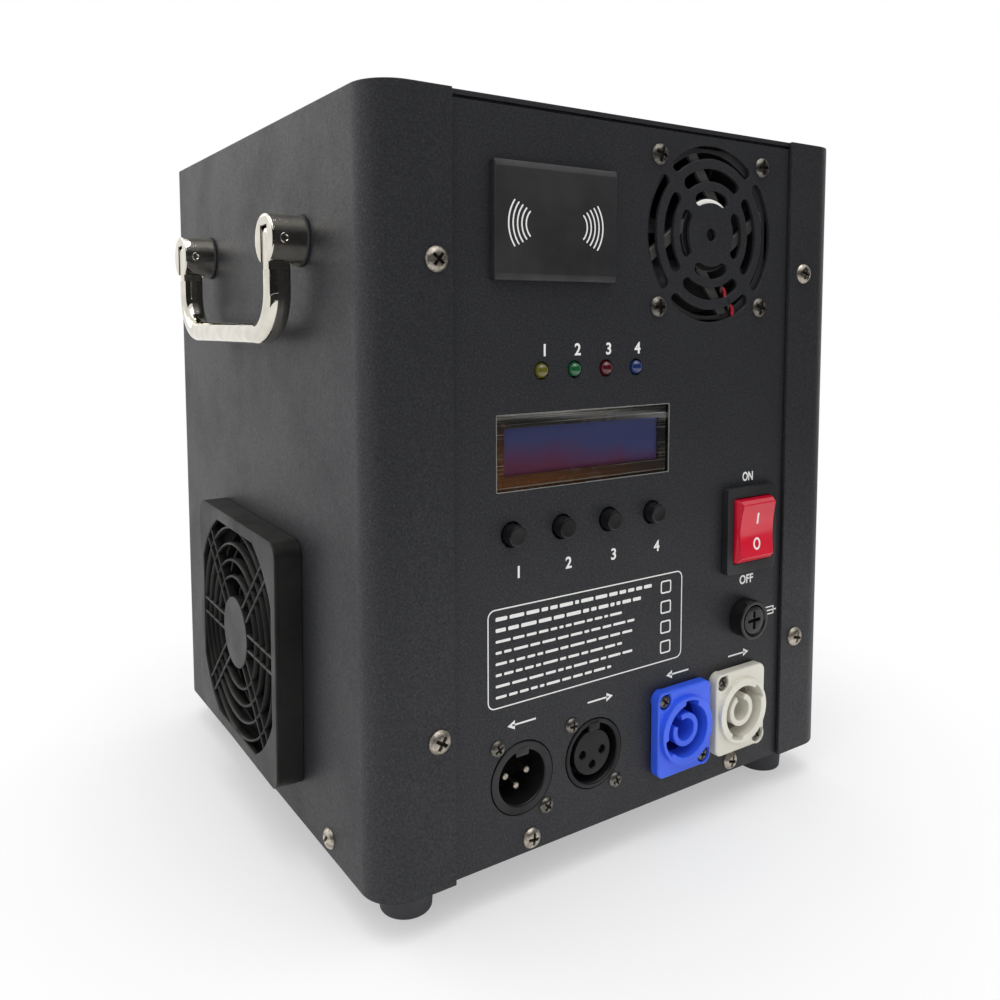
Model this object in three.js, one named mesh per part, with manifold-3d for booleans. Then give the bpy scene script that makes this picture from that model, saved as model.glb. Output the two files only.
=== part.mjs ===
// A cold spark machine: a sheet-metal box on rubber feet with a control front, a drop handle
// on each side, a spark outlet and a powder hopper on top, and the spark drive inside.
// Millimetres, +Z up, the control front faces -Y, and the floor is at z = 0.
import * as THREE from "three";
import { mergeVertices } from "three/addons/utils/BufferGeometryUtils.js";
import Module from "manifold-3d";

const wasm = await Module();
wasm.setup();

// Sheet-metal case
const caseWidth = 202;
const caseDepth = 202;
const caseHeight = 237;
const caseCorner = 12;
const sheet = 1.5;
const leftFlange = 26;
const rightFlange = 28;
const panelDrop = 2.5;
const topLip = 4;
const trayLip = 9.5;

// Clearances: between sheets that lie on each other, round a fixed piece, round a turning one
const seatGap = 0.2;
const fitGap = 0.3;
const runGap = 0.15;
const overrun = 2;

// Rubber feet
const footHeight = 13;
const footRadius = 9;
const footTaper = 0.8;
const footInset = 18;
const footBore = 4;
const footBoreDepth = 7;

// Rear vent slots
const ventLength = 56;
const ventWidth = 4;
const ventPitch = 9;
const ventRows = 5;
const ventHeight = 40;

// Drop handles
const handleY = 98.7;
const handleDown = 40.8;
const handleZ = caseHeight - handleDown;
const handleSpan = 96.6;
const postRadius = 8;
const postLength = 12.3;
const postEdge = 0.7;
const postFlat = 1;
const pinRadius = 1.5;
const pinOut = 8.1;
const barWide = 8.4;
const barThick = 7.4;
const barBevel = 1.9;
const bailDrop = 29.4;
const bailBend = 10.5;
const tongueThick = 5;
const eyeRadius = 3.8;
const slotSideGap = 0.35;

// Left-hand fan with its clip-on guard
const sideFanY = 97.6;
const sideFanZ = 57;
const sideFanSize = 80;
const sideFanDepth = 25;
const sideFanBore = 38;
const sideFanHub = 16;
const guardSize = 82;
const guardDepth = 9.6;
const guardCorner = 5;
const guardWall = 1.8;
const guardFace = 2;
const guardWindow = 38;
const guardSweep = 43;
const ringWidth = 1.6;
const ringDepth = 2.4;
const grilleInset = 0.4;
const guardHub = 13;
const firstRing = 20.4;
const ringPitch = 6;
const ringCount = 4;
const ribWidth = 1.2;
const ribPairGap = 5.6;
const filterThick = 2.6;
const filterGrid = 1.8;

// Exhaust fan behind the slots of the panel
const exhaustXShare = 0.660891;
const exhaustX = caseWidth * exhaustXShare;
const exhaustDown = 36.2;
const exhaustZ = caseHeight - exhaustDown;
const exhaustSize = 60;
const exhaustDepth = 25;
const exhaustBore = 28.5;
const exhaustHub = 13;
const slotRadii = [28.4, 20.6, 13.2];
const slotWidth = 4.4;
const slotHalfAngles = [38, 35, 28];
const slotCentreHole = 1.8;

// Fans: frame flanges, struts and blades
const fanCorner = 4.5;
const fanFlange = 3.5;
const fanDuctWall = 1.6;
const strutWidth = 4;
const strutDepth = 2;
const bladeCount = 7;
const bladeThick = 1.1;
const bladeInset = 3;
const tipGap = 1.3;

// Display
const lcdXShare = 0.386139;
const lcdX = caseWidth * lcdXShare;
const lcdDown = 106.8;
const lcdZ = caseHeight - lcdDown;
const windowWidth = 72.7;
const windowHeight = 24.4;
const paneInset = 0.3;
const lcdBezelWidth = 71.2;
const lcdBezelHeight = 23.6;
const lcdViewWidth = 64.6;
const lcdViewHeight = 14.8;
const lcdViewDepth = 1.2;
const lcdDepth = 9.5;
const lcdBoardWidth = 80;
const lcdBoardHeight = 36;
const lcdPostRadius = 2;
const boardThick = 1.6;

// Indicator lamps and buttons
const ledLeft = 19.1;
const ledX = lcdX - ledLeft;
const ledDown = 81.7;
const ledZ = caseHeight - ledDown;
const ledPitch = 13.15;
const ledRadius = 2.5;
const ledProud = 1.9;
const ledBase = 5;
const ledRim = 0.4;
const buttonLeft = 30.4;
const buttonX = lcdX - buttonLeft;
const buttonDown = 132.1;
const buttonZ = caseHeight - buttonDown;
const buttonPitch = 19.6;
const buttonRadius = 3.75;
const buttonProud = 4.2;
const buttonRim = 1;
const buttonTravel = 1;

// Control board behind the panel
const controlMargin = 11.6;
const controlLeft = buttonX - controlMargin;
const controlWidth = 86;
const controlRight = controlLeft + controlWidth;
const controlBelow = 10.9;
const controlBottom = buttonZ - controlBelow;
const controlAbove = 8.7;
const controlTop = ledZ + controlAbove;
const controlY = 17;
const controlInset = 4;
const boardPost = 2.6;
const tactBody = 6;
const tactDepth = 4;
const tactStem = 1.7;

// Power switch
const switchIn = 19.4;
const switchX = caseWidth - rightFlange - switchIn;
const switchZ = 93.3;
const bezelWidth = 26.5;
const bezelHeight = 32;
const bezelProud = 2.8;
const bezelEdge = 0.8;
const switchBodyWidth = 22.6;
const switchBodyHeight = 28.6;
const switchBodyDepth = 20;
const rockerWell = 19.9;
const rockerWellHeight = 24.4;
const rockerWellDepth = 11;
const rockerWidth = 19.3;
const rockerFaceWidth = 17;
const rockerProud = 4.1;
const rockerDip = 1;
const rockerPivotDepth = 1.5;
const rockerRadius = 11.9;
const rockerTail = 5.5;
const rockerTilt = 7.5;
const rockerStub = 1.5;
const terminalWidth = 6.3;
const terminalThick = 0.8;
const terminalLength = 8;

// Fuse holder
const fuseIn = 20.6;
const fuseX = caseWidth - rightFlange - fuseIn;
const fuseZ = 59.4;
const fuseCollar = 7.3;
const fuseProud = 6;
const fuseBarrel = 6.2;
const fuseDepth = 30;
const fuseCapRadius = 5.3;
const fuseCapLength = 10.8;
const fuseCross = 1.1;
const fuseCrossDepth = 1.2;
const fuseCrossLength = 6.4;
const fuseLinkRadius = 2.6;
const fuseLinkLength = 20;
const fusePocket = 3.8;

// Signal and power sockets, all on the same flange pattern
const socketZ = 25.7;
const dmxPairShare = 0.328465;
const dmxPitch = 29.5;
const dmxInX = caseWidth * dmxPairShare - dmxPitch / 2;
const dmxOutX = dmxInX + dmxPitch;
const powerPairShare = 0.664109;
const powerPitch = 29.1;
const powerInX = caseWidth * powerPairShare - powerPitch / 2;
const powerOutX = powerInX + powerPitch;
const socketHole = 12.1;
const flangeWidth = 26;
const flangeHeight = 31;
const flangeCorner = 3;
const dmxFlange = 1.6;
const dmxRim = 11.8;
const dmxBody = 11.3;
const dmxDepth = 21;
const dmxCup = 8.9;
const dmxCupDepth = 13.5;
const dmxPin = 1.2;
const dmxPinInset = 3.5;
const contactCircle = 4.2;
const latchWidth = 5;
const latchDepth = 3;
const dmxInsert = 7.8;
const dmxGroove = 10.1;
const dmxGrooveDepth = 7;
const dmxInsertInset = 1;
const dmxHole = 1.4;
const dmxHoleDepth = 9;
const powerFlange = 4.1;
const powerBevel = 1;
const powerRing = 12.2;
const powerRingProud = 1.8;
const powerBody = 11.7;
const powerDepth = 24;
const powerCup = 9.5;
const powerCupDepth = 17;
const powerPost = 6.1;
const powerPostBore = 4;
const powerPostInset = 1.4;
const powerPostSlot = 4.2;
const powerKeyWidth = 6;
const powerKeyReach = 10.9;

// Remote receiver cover
const remoteXShare = 0.312871;
const remoteX = caseWidth * remoteXShare;
const remoteDown = 36.4;
const remoteZ = caseHeight - remoteDown;
const remoteWidth = 47.3;
const remoteHeight = 35.4;
const remoteProud = 3;
const remoteBevel = 1.5;
const remoteBackWidth = 40;
const remoteBackHeight = 28;
const remoteBackDepth = 9;
const remoteWall = 1.6;

// Spark outlet and hopper on the top plate
const driveY = 112;
const nozzleX = 68;
const nozzleFlange = 32;
const nozzleFlangeThick = 2.4;
const nozzleOuter = 24;
const nozzleWall = 1.6;
const nozzleFlare = 2;
const hopperX = 146;
const hopperRim = 38;
const hopperRimThick = 1.8;
const hopperOuter = 34;
const hopperWall = 1.6;
const hopperStraightShare = 0.487805;
const spoutRise = 19;
const spoutOuter = 9;
const spoutLength = 10;
const lidRadius = 37;
const lidThick = 7;
const lidPlug = 6;
const lidFlutes = 10;
const lidFluteRadius = 2.2;
const sealThick = 1.3;
const sealInner = 32.8;
const sealOuter = 36;

// Heating barrel, coil and feed drive
const barrelZ = 126;
const barrelOuter = 14;
const barrelBore = 9.6;
const barrelWall = 2;
const barrelRight = 164;
const chamberHeight = 30;
const sleeveInset = 3;
const sleeveLength = 38;
const sleeveThick = 2;
const coilTurns = 5;
const coilSteps = 10;
const coilPitch = 6;
const coilWire = 2.1;
const screwRadius = 9;
const screwShaft = 3.4;
const screwPitch = 12;
const screwInset = 5;
const couplingRadius = 6;
const couplingLength = 9;
const motorShaft = 2.5;
const shaftReach = 6;
const gearRadius = 18.5;
const gearLength = 18;
const motorRadius = 16;
const motorLength = 14;

// Blower under the spark chamber
const blowerZ = 55;
const blowerDepth = 28;
const blowerWall = 1.8;
const blowerCore = 31;
const blowerGrowth = 5;
const blowerInlet = 18;
const blowerFootWidth = 44;
const ductWidth = 24;
const impellerRadius = 26;
const impellerHub = 7;
const impellerPlate = 1.5;
const impellerBlades = 9;
const impellerBladeLength = 6;

// Power supply and main board
const supplyLeft = 104;
const supplyFront = 66;
const supplySide = 6.5;
const supplyWidth = caseWidth - sheet - supplySide - supplyLeft;
const supplyEnd = 12.5;
const supplyLength = caseDepth - sheet - supplyEnd - supplyFront;
const supplyHeight = 40;
const supplyStep = 14;
const supplyStepHeight = 22;
const boardLeft = 24;
const boardWidth = 76;
const boardBottom = 62;
const boardHeight = 106;
const boardStandoff = 9;
const relaySize = 16;
const capacitorRadius = 9;
const capacitorLength = 26;

// Places worked out from the sizes above
const innerWall = sheet + seatGap;
const panelFront = innerWall;
const panelBack = panelFront + sheet;
const behindPanel = panelBack + seatGap;
const plateCorner = caseCorner - innerWall;
const topUnder = caseHeight - sheet;
const floorTop = sheet + seatGap;
const bezelFront = panelFront - seatGap - bezelProud;
const rockerFace = rockerProud + rockerPivotDepth;
const rockerEnd = Math.asin(rockerFace / rockerRadius);
const fuseFront = panelFront - fuseProud;
const hopperDepth = caseHeight - spoutLength - spoutRise - barrelZ;
const hopperStraight = hopperDepth * hopperStraightShare;
const hopperConeHeight = hopperDepth - hopperStraight;
const powerFront = panelFront - seatGap - powerFlange;

// The tipped rocker's end reaches furthest forward, and the origin lies midway to the back
const degrees = Math.PI / 180;
const rockerReach = rockerRadius * Math.sin(rockerEnd + rockerTilt * degrees);
const frontReach = rockerReach - rockerPivotDepth - bezelFront;
const originY = (caseDepth - frontReach) / 2;

// Number of straight sides on round forms
const sides = { tiny: 6, small: 8, button: 10, medium: 12, round: 16, large: 20 };

// Finishes
function finish(color, roughness, metalness) {
  return new THREE.MeshStandardMaterial({ color, roughness, metalness });
}
const blackCoat = finish(0x2b2b2e, 0.55, 0.2);
const chrome = finish(0xd8d4cc, 0.12, 1);
const steel = finish(0xa7a49c, 0.35, 1);
const rubber = finish(0x1c1d20, 0.85, 0);
const blackPlastic = finish(0x202124, 0.5, 0);
const clearPane = finish(0x30344a, 0.1, 0);
const boardGreen = finish(0x1f4a33, 0.6, 0);
const redPlastic = finish(0xc0101f, 0.25, 0);
const bluePlastic = finish(0x2f66dd, 0.4, 0);
const ivoryPlastic = finish(0xd9d6cc, 0.45, 0);
const yellowLens = finish(0xb5a514, 0.2, 0);
const greenLens = finish(0x1f9a45, 0.2, 0);
const redLens = finish(0x8c1226, 0.2, 0);
const blueLens = finish(0x1b3f9c, 0.2, 0);
const glass = finish(0xcfd6d6, 0.08, 0);
const ceramic = finish(0xe7e2d4, 0.7, 0);
const copper = finish(0xb06a3a, 0.35, 1);
const redRubber = finish(0x9a2d22, 0.8, 0);


// A geometry as a solid: only its positions, with shared corners merged.
function solidOf(geometry) {
  const loose = geometry.index ? geometry.toNonIndexed() : geometry;
  const bare = new THREE.BufferGeometry();
  bare.setAttribute("position", loose.getAttribute("position"));
  const merged = mergeVertices(bare, 1e-3);
  return new wasm.Manifold(
    new wasm.Mesh({
      numProp: 3,
      vertProperties: merged.attributes.position.array,
      triVerts: new Uint32Array(merged.index.array),
    }),
  );
}

// A solid as a geometry again.
function geometryOf(solid) {
  const mesh = solid.getMesh();
  const geometry = new THREE.BufferGeometry();
  const position = new THREE.BufferAttribute(new Float32Array(mesh.vertProperties), 3);
  geometry.setAttribute("position", position);
  geometry.setIndex(new THREE.BufferAttribute(new Uint32Array(mesh.triVerts), 1));
  const flat = geometry.toNonIndexed();
  flat.computeVertexNormals();
  return flat;
}

function join(...geometries) {
  return geometryOf(geometries.map(solidOf).reduce((sum, next) => sum.add(next)));
}

function cut(body, ...tools) {
  return geometryOf(tools.map(solidOf).reduce((rest, tool) => rest.subtract(tool), solidOf(body)));
}

function common(first, second) {
  return geometryOf(solidOf(first).intersect(solidOf(second)));
}

// Points of an arc, both ends included.
function arc(x, y, radius, from, to, steps) {
  return Array.from({ length: steps + 1 }, (_, i) => {
    const angle = (from + ((to - from) * i) / steps) * degrees;
    return new THREE.Vector2(x + radius * Math.cos(angle), y + radius * Math.sin(angle));
  });
}

function at(x, y) {
  return new THREE.Vector2(x, y);
}

function circle(x, y, radius, count) {
  return arc(x, y, radius, 0, 360, count).slice(0, count);
}

// A rectangle between two corners with round corners.
function roundedRect(x0, y0, x1, y1, radius, steps = 2) {
  return [
    ...arc(x1 - radius, y0 + radius, radius, -90, 0, steps),
    ...arc(x1 - radius, y1 - radius, radius, 0, 90, steps),
    ...arc(x0 + radius, y1 - radius, radius, 90, 180, steps),
    ...arc(x0 + radius, y0 + radius, radius, 180, 270, steps),
  ];
}

function rect(x0, y0, x1, y1) {
  return [at(x0, y0), at(x1, y0), at(x1, y1), at(x0, y1)];
}

function centredRect(x, y, width, height, radius = 0) {
  const x0 = x - width / 2;
  const y0 = y - height / 2;
  return radius
    ? roundedRect(x0, y0, x0 + width, y0 + height, radius)
    : rect(x0, y0, x0 + width, y0 + height);
}

// An outline with holes, carried along Z, or along Y with the outline in X and Z, or along X
// with the outline in Y and Z.
function slabZ(outline, z0, z1, holes = []) {
  const shape = new THREE.Shape(outline);
  shape.holes = holes.map((points) => new THREE.Path(points));
  const geometry = new THREE.ExtrudeGeometry(shape, { depth: z1 - z0, bevelEnabled: false });
  return geometry.translate(0, 0, z0);
}

function slabY(outline, y0, y1, holes = []) {
  return slabZ(outline, -y1, -y0, holes).rotateX(Math.PI / 2);
}

function slabX(outline, x0, x1, holes = []) {
  return slabZ(outline, x0, x1, holes).rotateX(Math.PI / 2).rotateZ(Math.PI / 2);
}

function box(x0, x1, y0, y1, z0, z1) {
  return new THREE.BoxGeometry(x1 - x0, y1 - y0, z1 - z0).translate(
    (x0 + x1) / 2,
    (y0 + y1) / 2,
    (z0 + z1) / 2,
  );
}

// Rods along each axis, between two places on it.
function rodZ(radius, x, y, z0, z1, count = sides.medium) {
  return slabZ(circle(x, y, radius, count), z0, z1);
}

function rodY(radius, x, z, y0, y1, count = sides.medium) {
  return slabY(circle(x, z, radius, count), y0, y1);
}

function rodX(radius, y, z, x0, x1, count = sides.medium) {
  return slabX(circle(y, z, radius, count), x0, x1);
}

// A profile of [radius, height] pairs, listed upwards on its outside, turned about Z.
function turnedZ(profile, count = sides.round) {
  const points = profile.map(([radius, height]) => at(radius, height));
  return new THREE.LatheGeometry(points, count).rotateX(Math.PI / 2);
}

// The same about X and about Y, with the heights along the axis.
function turnedX(profile, count = sides.round) {
  return turnedZ(profile, count).rotateY(Math.PI / 2);
}

function turnedY(profile, count = sides.round) {
  return turnedZ(profile, count).rotateX(-Math.PI / 2);
}

const machine = new THREE.Group();
const body = new THREE.Group();
body.position.set(-caseWidth / 2, -originY, footHeight);
machine.add(body);

// A named piece in the case's frame: x from its left side, y from its front, z from its bottom.
function piece(name, geometry, material, parent = body) {
  const mesh = new THREE.Mesh(geometry, material);
  mesh.name = name;
  parent.add(mesh);
  return mesh;
}

function group(x, y, z, turn = 0) {
  const made = new THREE.Group();
  made.position.set(x, y, z);
  made.rotation.z = turn;
  body.add(made);
  return made;
}

// One sheet wraps the left side, the back and the right side, with a flange at the front on
// either side.
function makeCaseWrap() {
  const c = caseCorner;
  const inner = caseCorner - sheet;
  const farX = caseWidth - c;
  const farY = caseDepth - c;
  const outline = [
    at(leftFlange, 0),
    ...arc(c, c, c, 270, 180, 5),
    ...arc(c, farY, c, 180, 90, 5),
    ...arc(farX, farY, c, 90, 0, 5),
    ...arc(farX, c, c, 0, -90, 5),
    at(caseWidth - rightFlange, 0),
    at(caseWidth - rightFlange, sheet),
    ...arc(farX, c, inner, -90, 0, 5),
    ...arc(farX, farY, inner, 0, 90, 5),
    ...arc(c, farY, inner, 90, 180, 5),
    ...arc(c, c, inner, 180, 270, 5),
    at(leftFlange, sheet),
  ].reverse();
  const vents = Array.from({ length: ventRows }, (_, i) => {
    const slot = centredRect(
      caseWidth / 2,
      ventHeight + i * ventPitch,
      ventLength,
      ventWidth,
      ventWidth / 2.05,
    );
    return slabY(slot, caseDepth - sheet - overrun, caseDepth + overrun);
  });
  const fanHole = rodX(sideFanBore, sideFanY, sideFanZ, -overrun, sheet + overrun, sides.large);
  piece("case_wrap", cut(slabZ(outline, 0, caseHeight), fanHole, ...vents), blackCoat);
}

function makeBaseTray() {
  const far = caseWidth - innerWall;
  const back = caseDepth - innerWall;
  const outer = roundedRect(innerWall, behindPanel, far, back, plateCorner, 3);
  const inner = roundedRect(
    innerWall + sheet,
    behindPanel + sheet,
    far - sheet,
    back - sheet,
    plateCorner - sheet,
  );
  const hollow = slabZ(inner, sheet, trayLip + overrun);
  piece("base_tray", cut(slabZ(outer, 0, trayLip), hollow), blackCoat);
}

function makeTopPlate() {
  const far = caseWidth - innerWall;
  const back = caseDepth - innerWall;
  const lipBottom = topUnder - topLip;
  const plate = slabZ(
    roundedRect(innerWall, innerWall, far, back, plateCorner, 4),
    topUnder,
    caseHeight,
  );
  const lip = slabZ(
    roundedRect(innerWall, behindPanel, far, back, plateCorner),
    lipBottom,
    topUnder + sheet / 2,
    [
      roundedRect(
        innerWall + sheet,
        behindPanel + sheet,
        far - sheet,
        back - sheet,
        plateCorner - sheet,
      ).reverse(),
    ],
  );
  const nozzleHole = rodZ(
    nozzleOuter + fitGap,
    nozzleX,
    driveY,
    lipBottom,
    caseHeight + overrun,
    sides.large,
  );
  const hopperHole = rodZ(
    hopperOuter + fitGap,
    hopperX,
    driveY,
    lipBottom,
    caseHeight + overrun,
    sides.large,
  );
  piece("top_plate", cut(join(plate, lip), nozzleHole, hopperHole), blackCoat);
}

// An arc-shaped slot with round ends, about the centre of the exhaust fan.
function arcSlot(radius, middle, half) {
  const cap = slotWidth / 2;
  const end = (angle) => at(
    exhaustX + radius * Math.cos(angle * degrees),
    exhaustZ + radius * Math.sin(angle * degrees),
  );
  const from = middle - half;
  const to = middle + half;
  const first = end(from);
  const last = end(to);
  return [
    ...arc(exhaustX, exhaustZ, radius + cap, from, to, 4),
    ...arc(last.x, last.y, cap, to, to + 180, 3).slice(1, -1),
    ...arc(exhaustX, exhaustZ, radius - cap, to, from, 4),
    ...arc(first.x, first.y, cap, from + 180, from + 360, 3).slice(1, -1),
  ];
}

// The control panel: slots for the exhaust fan, the display window, and round holes for lamps,
// buttons, fuse and sockets.
function makeFrontPanel() {
  const slots = slotRadii.flatMap((radius, i) =>
    [0, 90, 180, 270].map((middle) => arcSlot(radius, middle, slotHalfAngles[i])),
  );
  const holes = [
    ...slots,
    circle(exhaustX, exhaustZ, slotCentreHole, sides.small),
    centredRect(lcdX, lcdZ, windowWidth, windowHeight),
    centredRect(
      remoteX,
      remoteZ,
      remoteBackWidth + 2 * fitGap,
      remoteBackHeight + 2 * fitGap,
    ),
    centredRect(
      switchX,
      switchZ,
      switchBodyWidth + 2 * fitGap,
      switchBodyHeight + 2 * fitGap,
    ),
    circle(fuseX, fuseZ, fuseBarrel + fitGap, sides.round),
    ...[0, 1, 2, 3].map((i) =>
      circle(ledX + i * ledPitch, ledZ, ledRadius + fitGap, sides.button),
    ),
    ...[0, 1, 2, 3].map((i) =>
      circle(buttonX + i * buttonPitch, buttonZ, buttonRadius + fitGap, sides.button),
    ),
    ...[dmxInX, dmxOutX, powerInX, powerOutX].map((x) =>
      circle(x, socketZ, socketHole, sides.round),
    ),
  ].map((points) => points.slice().reverse());
  const outline = rect(
    caseCorner + fitGap,
    seatGap,
    caseWidth - caseCorner - fitGap,
    caseHeight - panelDrop,
  );
  piece("front_panel", slabY(outline, panelFront, panelBack, holes), blackCoat);
}

function makeFeet() {
  const profile = [
    [0, footBoreDepth - footHeight],
    [footBore, footBoreDepth - footHeight],
    [footBore, -footHeight],
    [footRadius - footTaper, -footHeight],
    [footRadius, -seatGap],
    [0, -seatGap],
  ];
  const places = {
    foot_front_left: [footInset, footInset],
    foot_front_right: [caseWidth - footInset, footInset],
    foot_rear_left: [footInset, caseDepth - footInset],
    foot_rear_right: [caseWidth - footInset, caseDepth - footInset],
  };
  for (const [name, [x, y]] of Object.entries(places))
    piece(name, turnedZ(profile, sides.medium).translate(x, y, 0), rubber);
}

// The bail's distance from the pin to the full section of its arms, which clears the posts'
// corners as it swings.
const armStart = Math.hypot(postLength - pinOut, postRadius) + fitGap;

function makePost() {
  const slotWidthY = tongueThick + 2 * slotSideGap;
  const slotFloor = pinOut - eyeRadius - slotSideGap;
  const turned = turnedX([
    [0, seatGap],
    [postRadius, seatGap],
    [postRadius, postLength - postEdge],
    [postRadius - postEdge, postLength],
    [0, postLength],
  ]);
  const slot = box(
    slotFloor,
    postLength + overrun,
    -slotWidthY / 2,
    slotWidthY / 2,
    -postRadius - overrun,
    eyeRadius + slotSideGap,
  );
  const flat = box(
    slotFloor,
    postLength + overrun,
    -postRadius,
    postRadius,
    -postRadius - overrun,
    postFlat - postRadius,
  );
  const pinHole = rodY(
    pinRadius + runGap,
    pinOut,
    0,
    -postRadius - overrun,
    postRadius + overrun,
    sides.small,
  );
  return cut(turned, slot, flat, pinHole);
}

// A U of bevelled bar with a flat eye on top of each arm.
function makeBail() {
  const outerY = (handleSpan + barThick) / 2;
  const innerY = outerY - barThick;
  const bottom = -bailDrop - barThick / 2;
  const inside = bottom + barThick;
  const outerBend = bailBend + barThick;
  const outline = [
    at(-outerY, -armStart),
    ...arc(outerBend - outerY, bottom + outerBend, outerBend, 180, 270, 5),
    ...arc(outerY - outerBend, bottom + outerBend, outerBend, 270, 360, 5),
    at(outerY, -armStart),
    at(innerY, -armStart),
    ...arc(innerY - bailBend, inside + bailBend, bailBend, 360, 270, 4),
    ...arc(bailBend - innerY, inside + bailBend, bailBend, 270, 180, 4),
    at(-innerY, -armStart),
  ];
  const bar = new THREE.ExtrudeGeometry(new THREE.Shape(outline), {
    depth: barWide - 2 * barBevel,
    bevelEnabled: true,
    bevelThickness: barBevel,
    bevelSize: barBevel,
    bevelOffset: -barBevel,
    bevelSegments: 1,
  })
    .translate(0, 0, barBevel - barWide / 2)
    .rotateX(Math.PI / 2)
    .rotateZ(Math.PI / 2)
    .translate(pinOut, 0, 0);
  const eye = [
    ...arc(pinOut, 0, eyeRadius, 0, 180, 5),
    at(pinOut - eyeRadius, -armStart - barBevel - postEdge),
    at(pinOut + eyeRadius, -armStart - barBevel - postEdge),
  ];
  const hole = circle(pinOut, 0, pinRadius + runGap, sides.button).reverse();
  const tongues = [-1, 1].map((side) => {
    const y = (side * handleSpan) / 2;
    return slabY(eye, y - tongueThick / 2, y + tongueThick / 2, [hole]);
  });
  return join(bar, ...tongues);
}

function makeHandle(side, x, turn) {
  const handle = group(x, handleY, handleZ, turn);
  const ends = { front: side === "left" ? 1 : -1, rear: side === "left" ? -1 : 1 };
  for (const [end, sign] of Object.entries(ends)) {
    const y = (sign * handleSpan) / 2;
    const pinHalf = postRadius - runGap;
    const pin = rodY(pinRadius, pinOut, 0, y - pinHalf, y + pinHalf, sides.small);
    piece(`${side}_handle_post_${end}`, makePost().translate(0, y, 0), chrome, handle);
    piece(`${side}_handle_pin_${end}`, pin, steel, handle);
  }
  piece(`${side}_handle_bail`, makeBail(), chrome, handle);
}

function ring(outer, inner, x0, x1, count) {
  return slabX(circle(0, 0, outer, count), x0, x1, [circle(0, 0, inner, count).reverse()]);
}

// A pair of straight ribs through the hub at an angle.
function ribPair(angle, half, x0, x1) {
  return [-1, 1].map((side) => {
    const y = (side * ribPairGap) / 2;
    const rib = box(x0, x1, y - ribWidth / 2, y + ribWidth / 2, -half, half);
    return rib.rotateX(angle * degrees);
  });
}

// The clip-on guard: a shallow cover with rings, a hub disc and paired ribs in its window. It
// snaps over a flat frame that holds a coarser grid of its own.
function makeGuard() {
  const guard = group(0, sideFanY, sideFanZ, Math.PI);
  const face = guardDepth - guardFace;
  const gridFront = guardDepth - grilleInset;
  const gridBack = gridFront - ringDepth;
  const cornerAngle = Math.acos(guardWindow / guardSweep) / degrees;
  const windowOutline = [0, 90, 180, 270].flatMap((turn) =>
    arc(0, 0, guardSweep, turn + cornerAngle, turn + 90 - cornerAngle, 4),
  );
  const shell = cut(
    slabX(centredRect(0, 0, guardSize, guardSize, guardCorner), seatGap, guardDepth),
    slabX(
      centredRect(
        0,
        0,
        guardSize - 2 * guardWall,
        guardSize - 2 * guardWall,
        guardCorner - guardWall,
      ),
      -overrun,
      face,
    ),
    slabX(windowOutline, -overrun, guardDepth + overrun),
  );
  const rings = Array.from({ length: ringCount }, (_, i) => {
    const middle = firstRing + i * ringPitch;
    return ring(middle + ringWidth / 2, middle - ringWidth / 2, gridBack, gridFront, sides.large);
  });
  const ribs = [
    ...ribPair(90, guardWindow + ringWidth, gridBack, gridFront),
    ...ribPair(45, guardSweep + ringWidth, gridBack, gridFront),
    ...ribPair(-45, guardSweep + ringWidth, gridBack, gridFront),
  ];
  const hub = rodX(guardHub, 0, 0, gridBack, gridFront, sides.round);
  piece("fan_guard", join(shell, ...rings, ...ribs, hub), blackPlastic, guard);

  const half = guardSize / 2 - guardWall - fitGap;
  const frameOutline = centredRect(0, 0, 2 * half, 2 * half, guardCorner - guardWall);
  const plate = slabX(frameOutline, seatGap, filterThick, [
    circle(0, 0, sideFanBore - ringWidth, sides.medium).reverse(),
  ]);
  const inner = [0, 2].map((i) => {
    const middle = firstRing + i * ringPitch;
    return ring(middle + ribWidth / 2, middle - ribWidth / 2, seatGap, filterGrid, sides.small);
  });
  const upright = ribPair(0, sideFanBore, seatGap, filterGrid);
  piece("filter_frame", join(plate, ...inner, ...upright), blackPlastic, guard);
}

// A fan frame along X from 0: two square flanges joined by a round duct, and struts that carry
// the motor cup at one end.
function fanFrame(size, depth, bore, hub, strutAngles, strutsAtFront) {
  const duct = bore + fanDuctWall;
  const outline = centredRect(0, 0, size, size, fanCorner);
  const cupFront = strutsAtFront ? 0 : depth - strutDepth;
  const flanges = [0, depth - fanFlange].map((x) =>
    slabX(outline, x, x + fanFlange, [circle(0, 0, bore, sides.round).reverse()]),
  );
  const struts = strutAngles.map((angle) =>
    box(
      cupFront,
      cupFront + strutDepth,
      -strutWidth / 2,
      strutWidth / 2,
      hub - strutWidth / 2,
      bore + fanDuctWall / 2,
    ).rotateX(angle * degrees),
  );
  return join(
    ring(duct, bore, fanFlange / 2, depth - fanFlange / 2, sides.round),
    ...flanges,
    ...struts,
    rodX(hub, 0, 0, cupFront, cupFront + strutDepth, sides.medium),
  );
}

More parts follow.
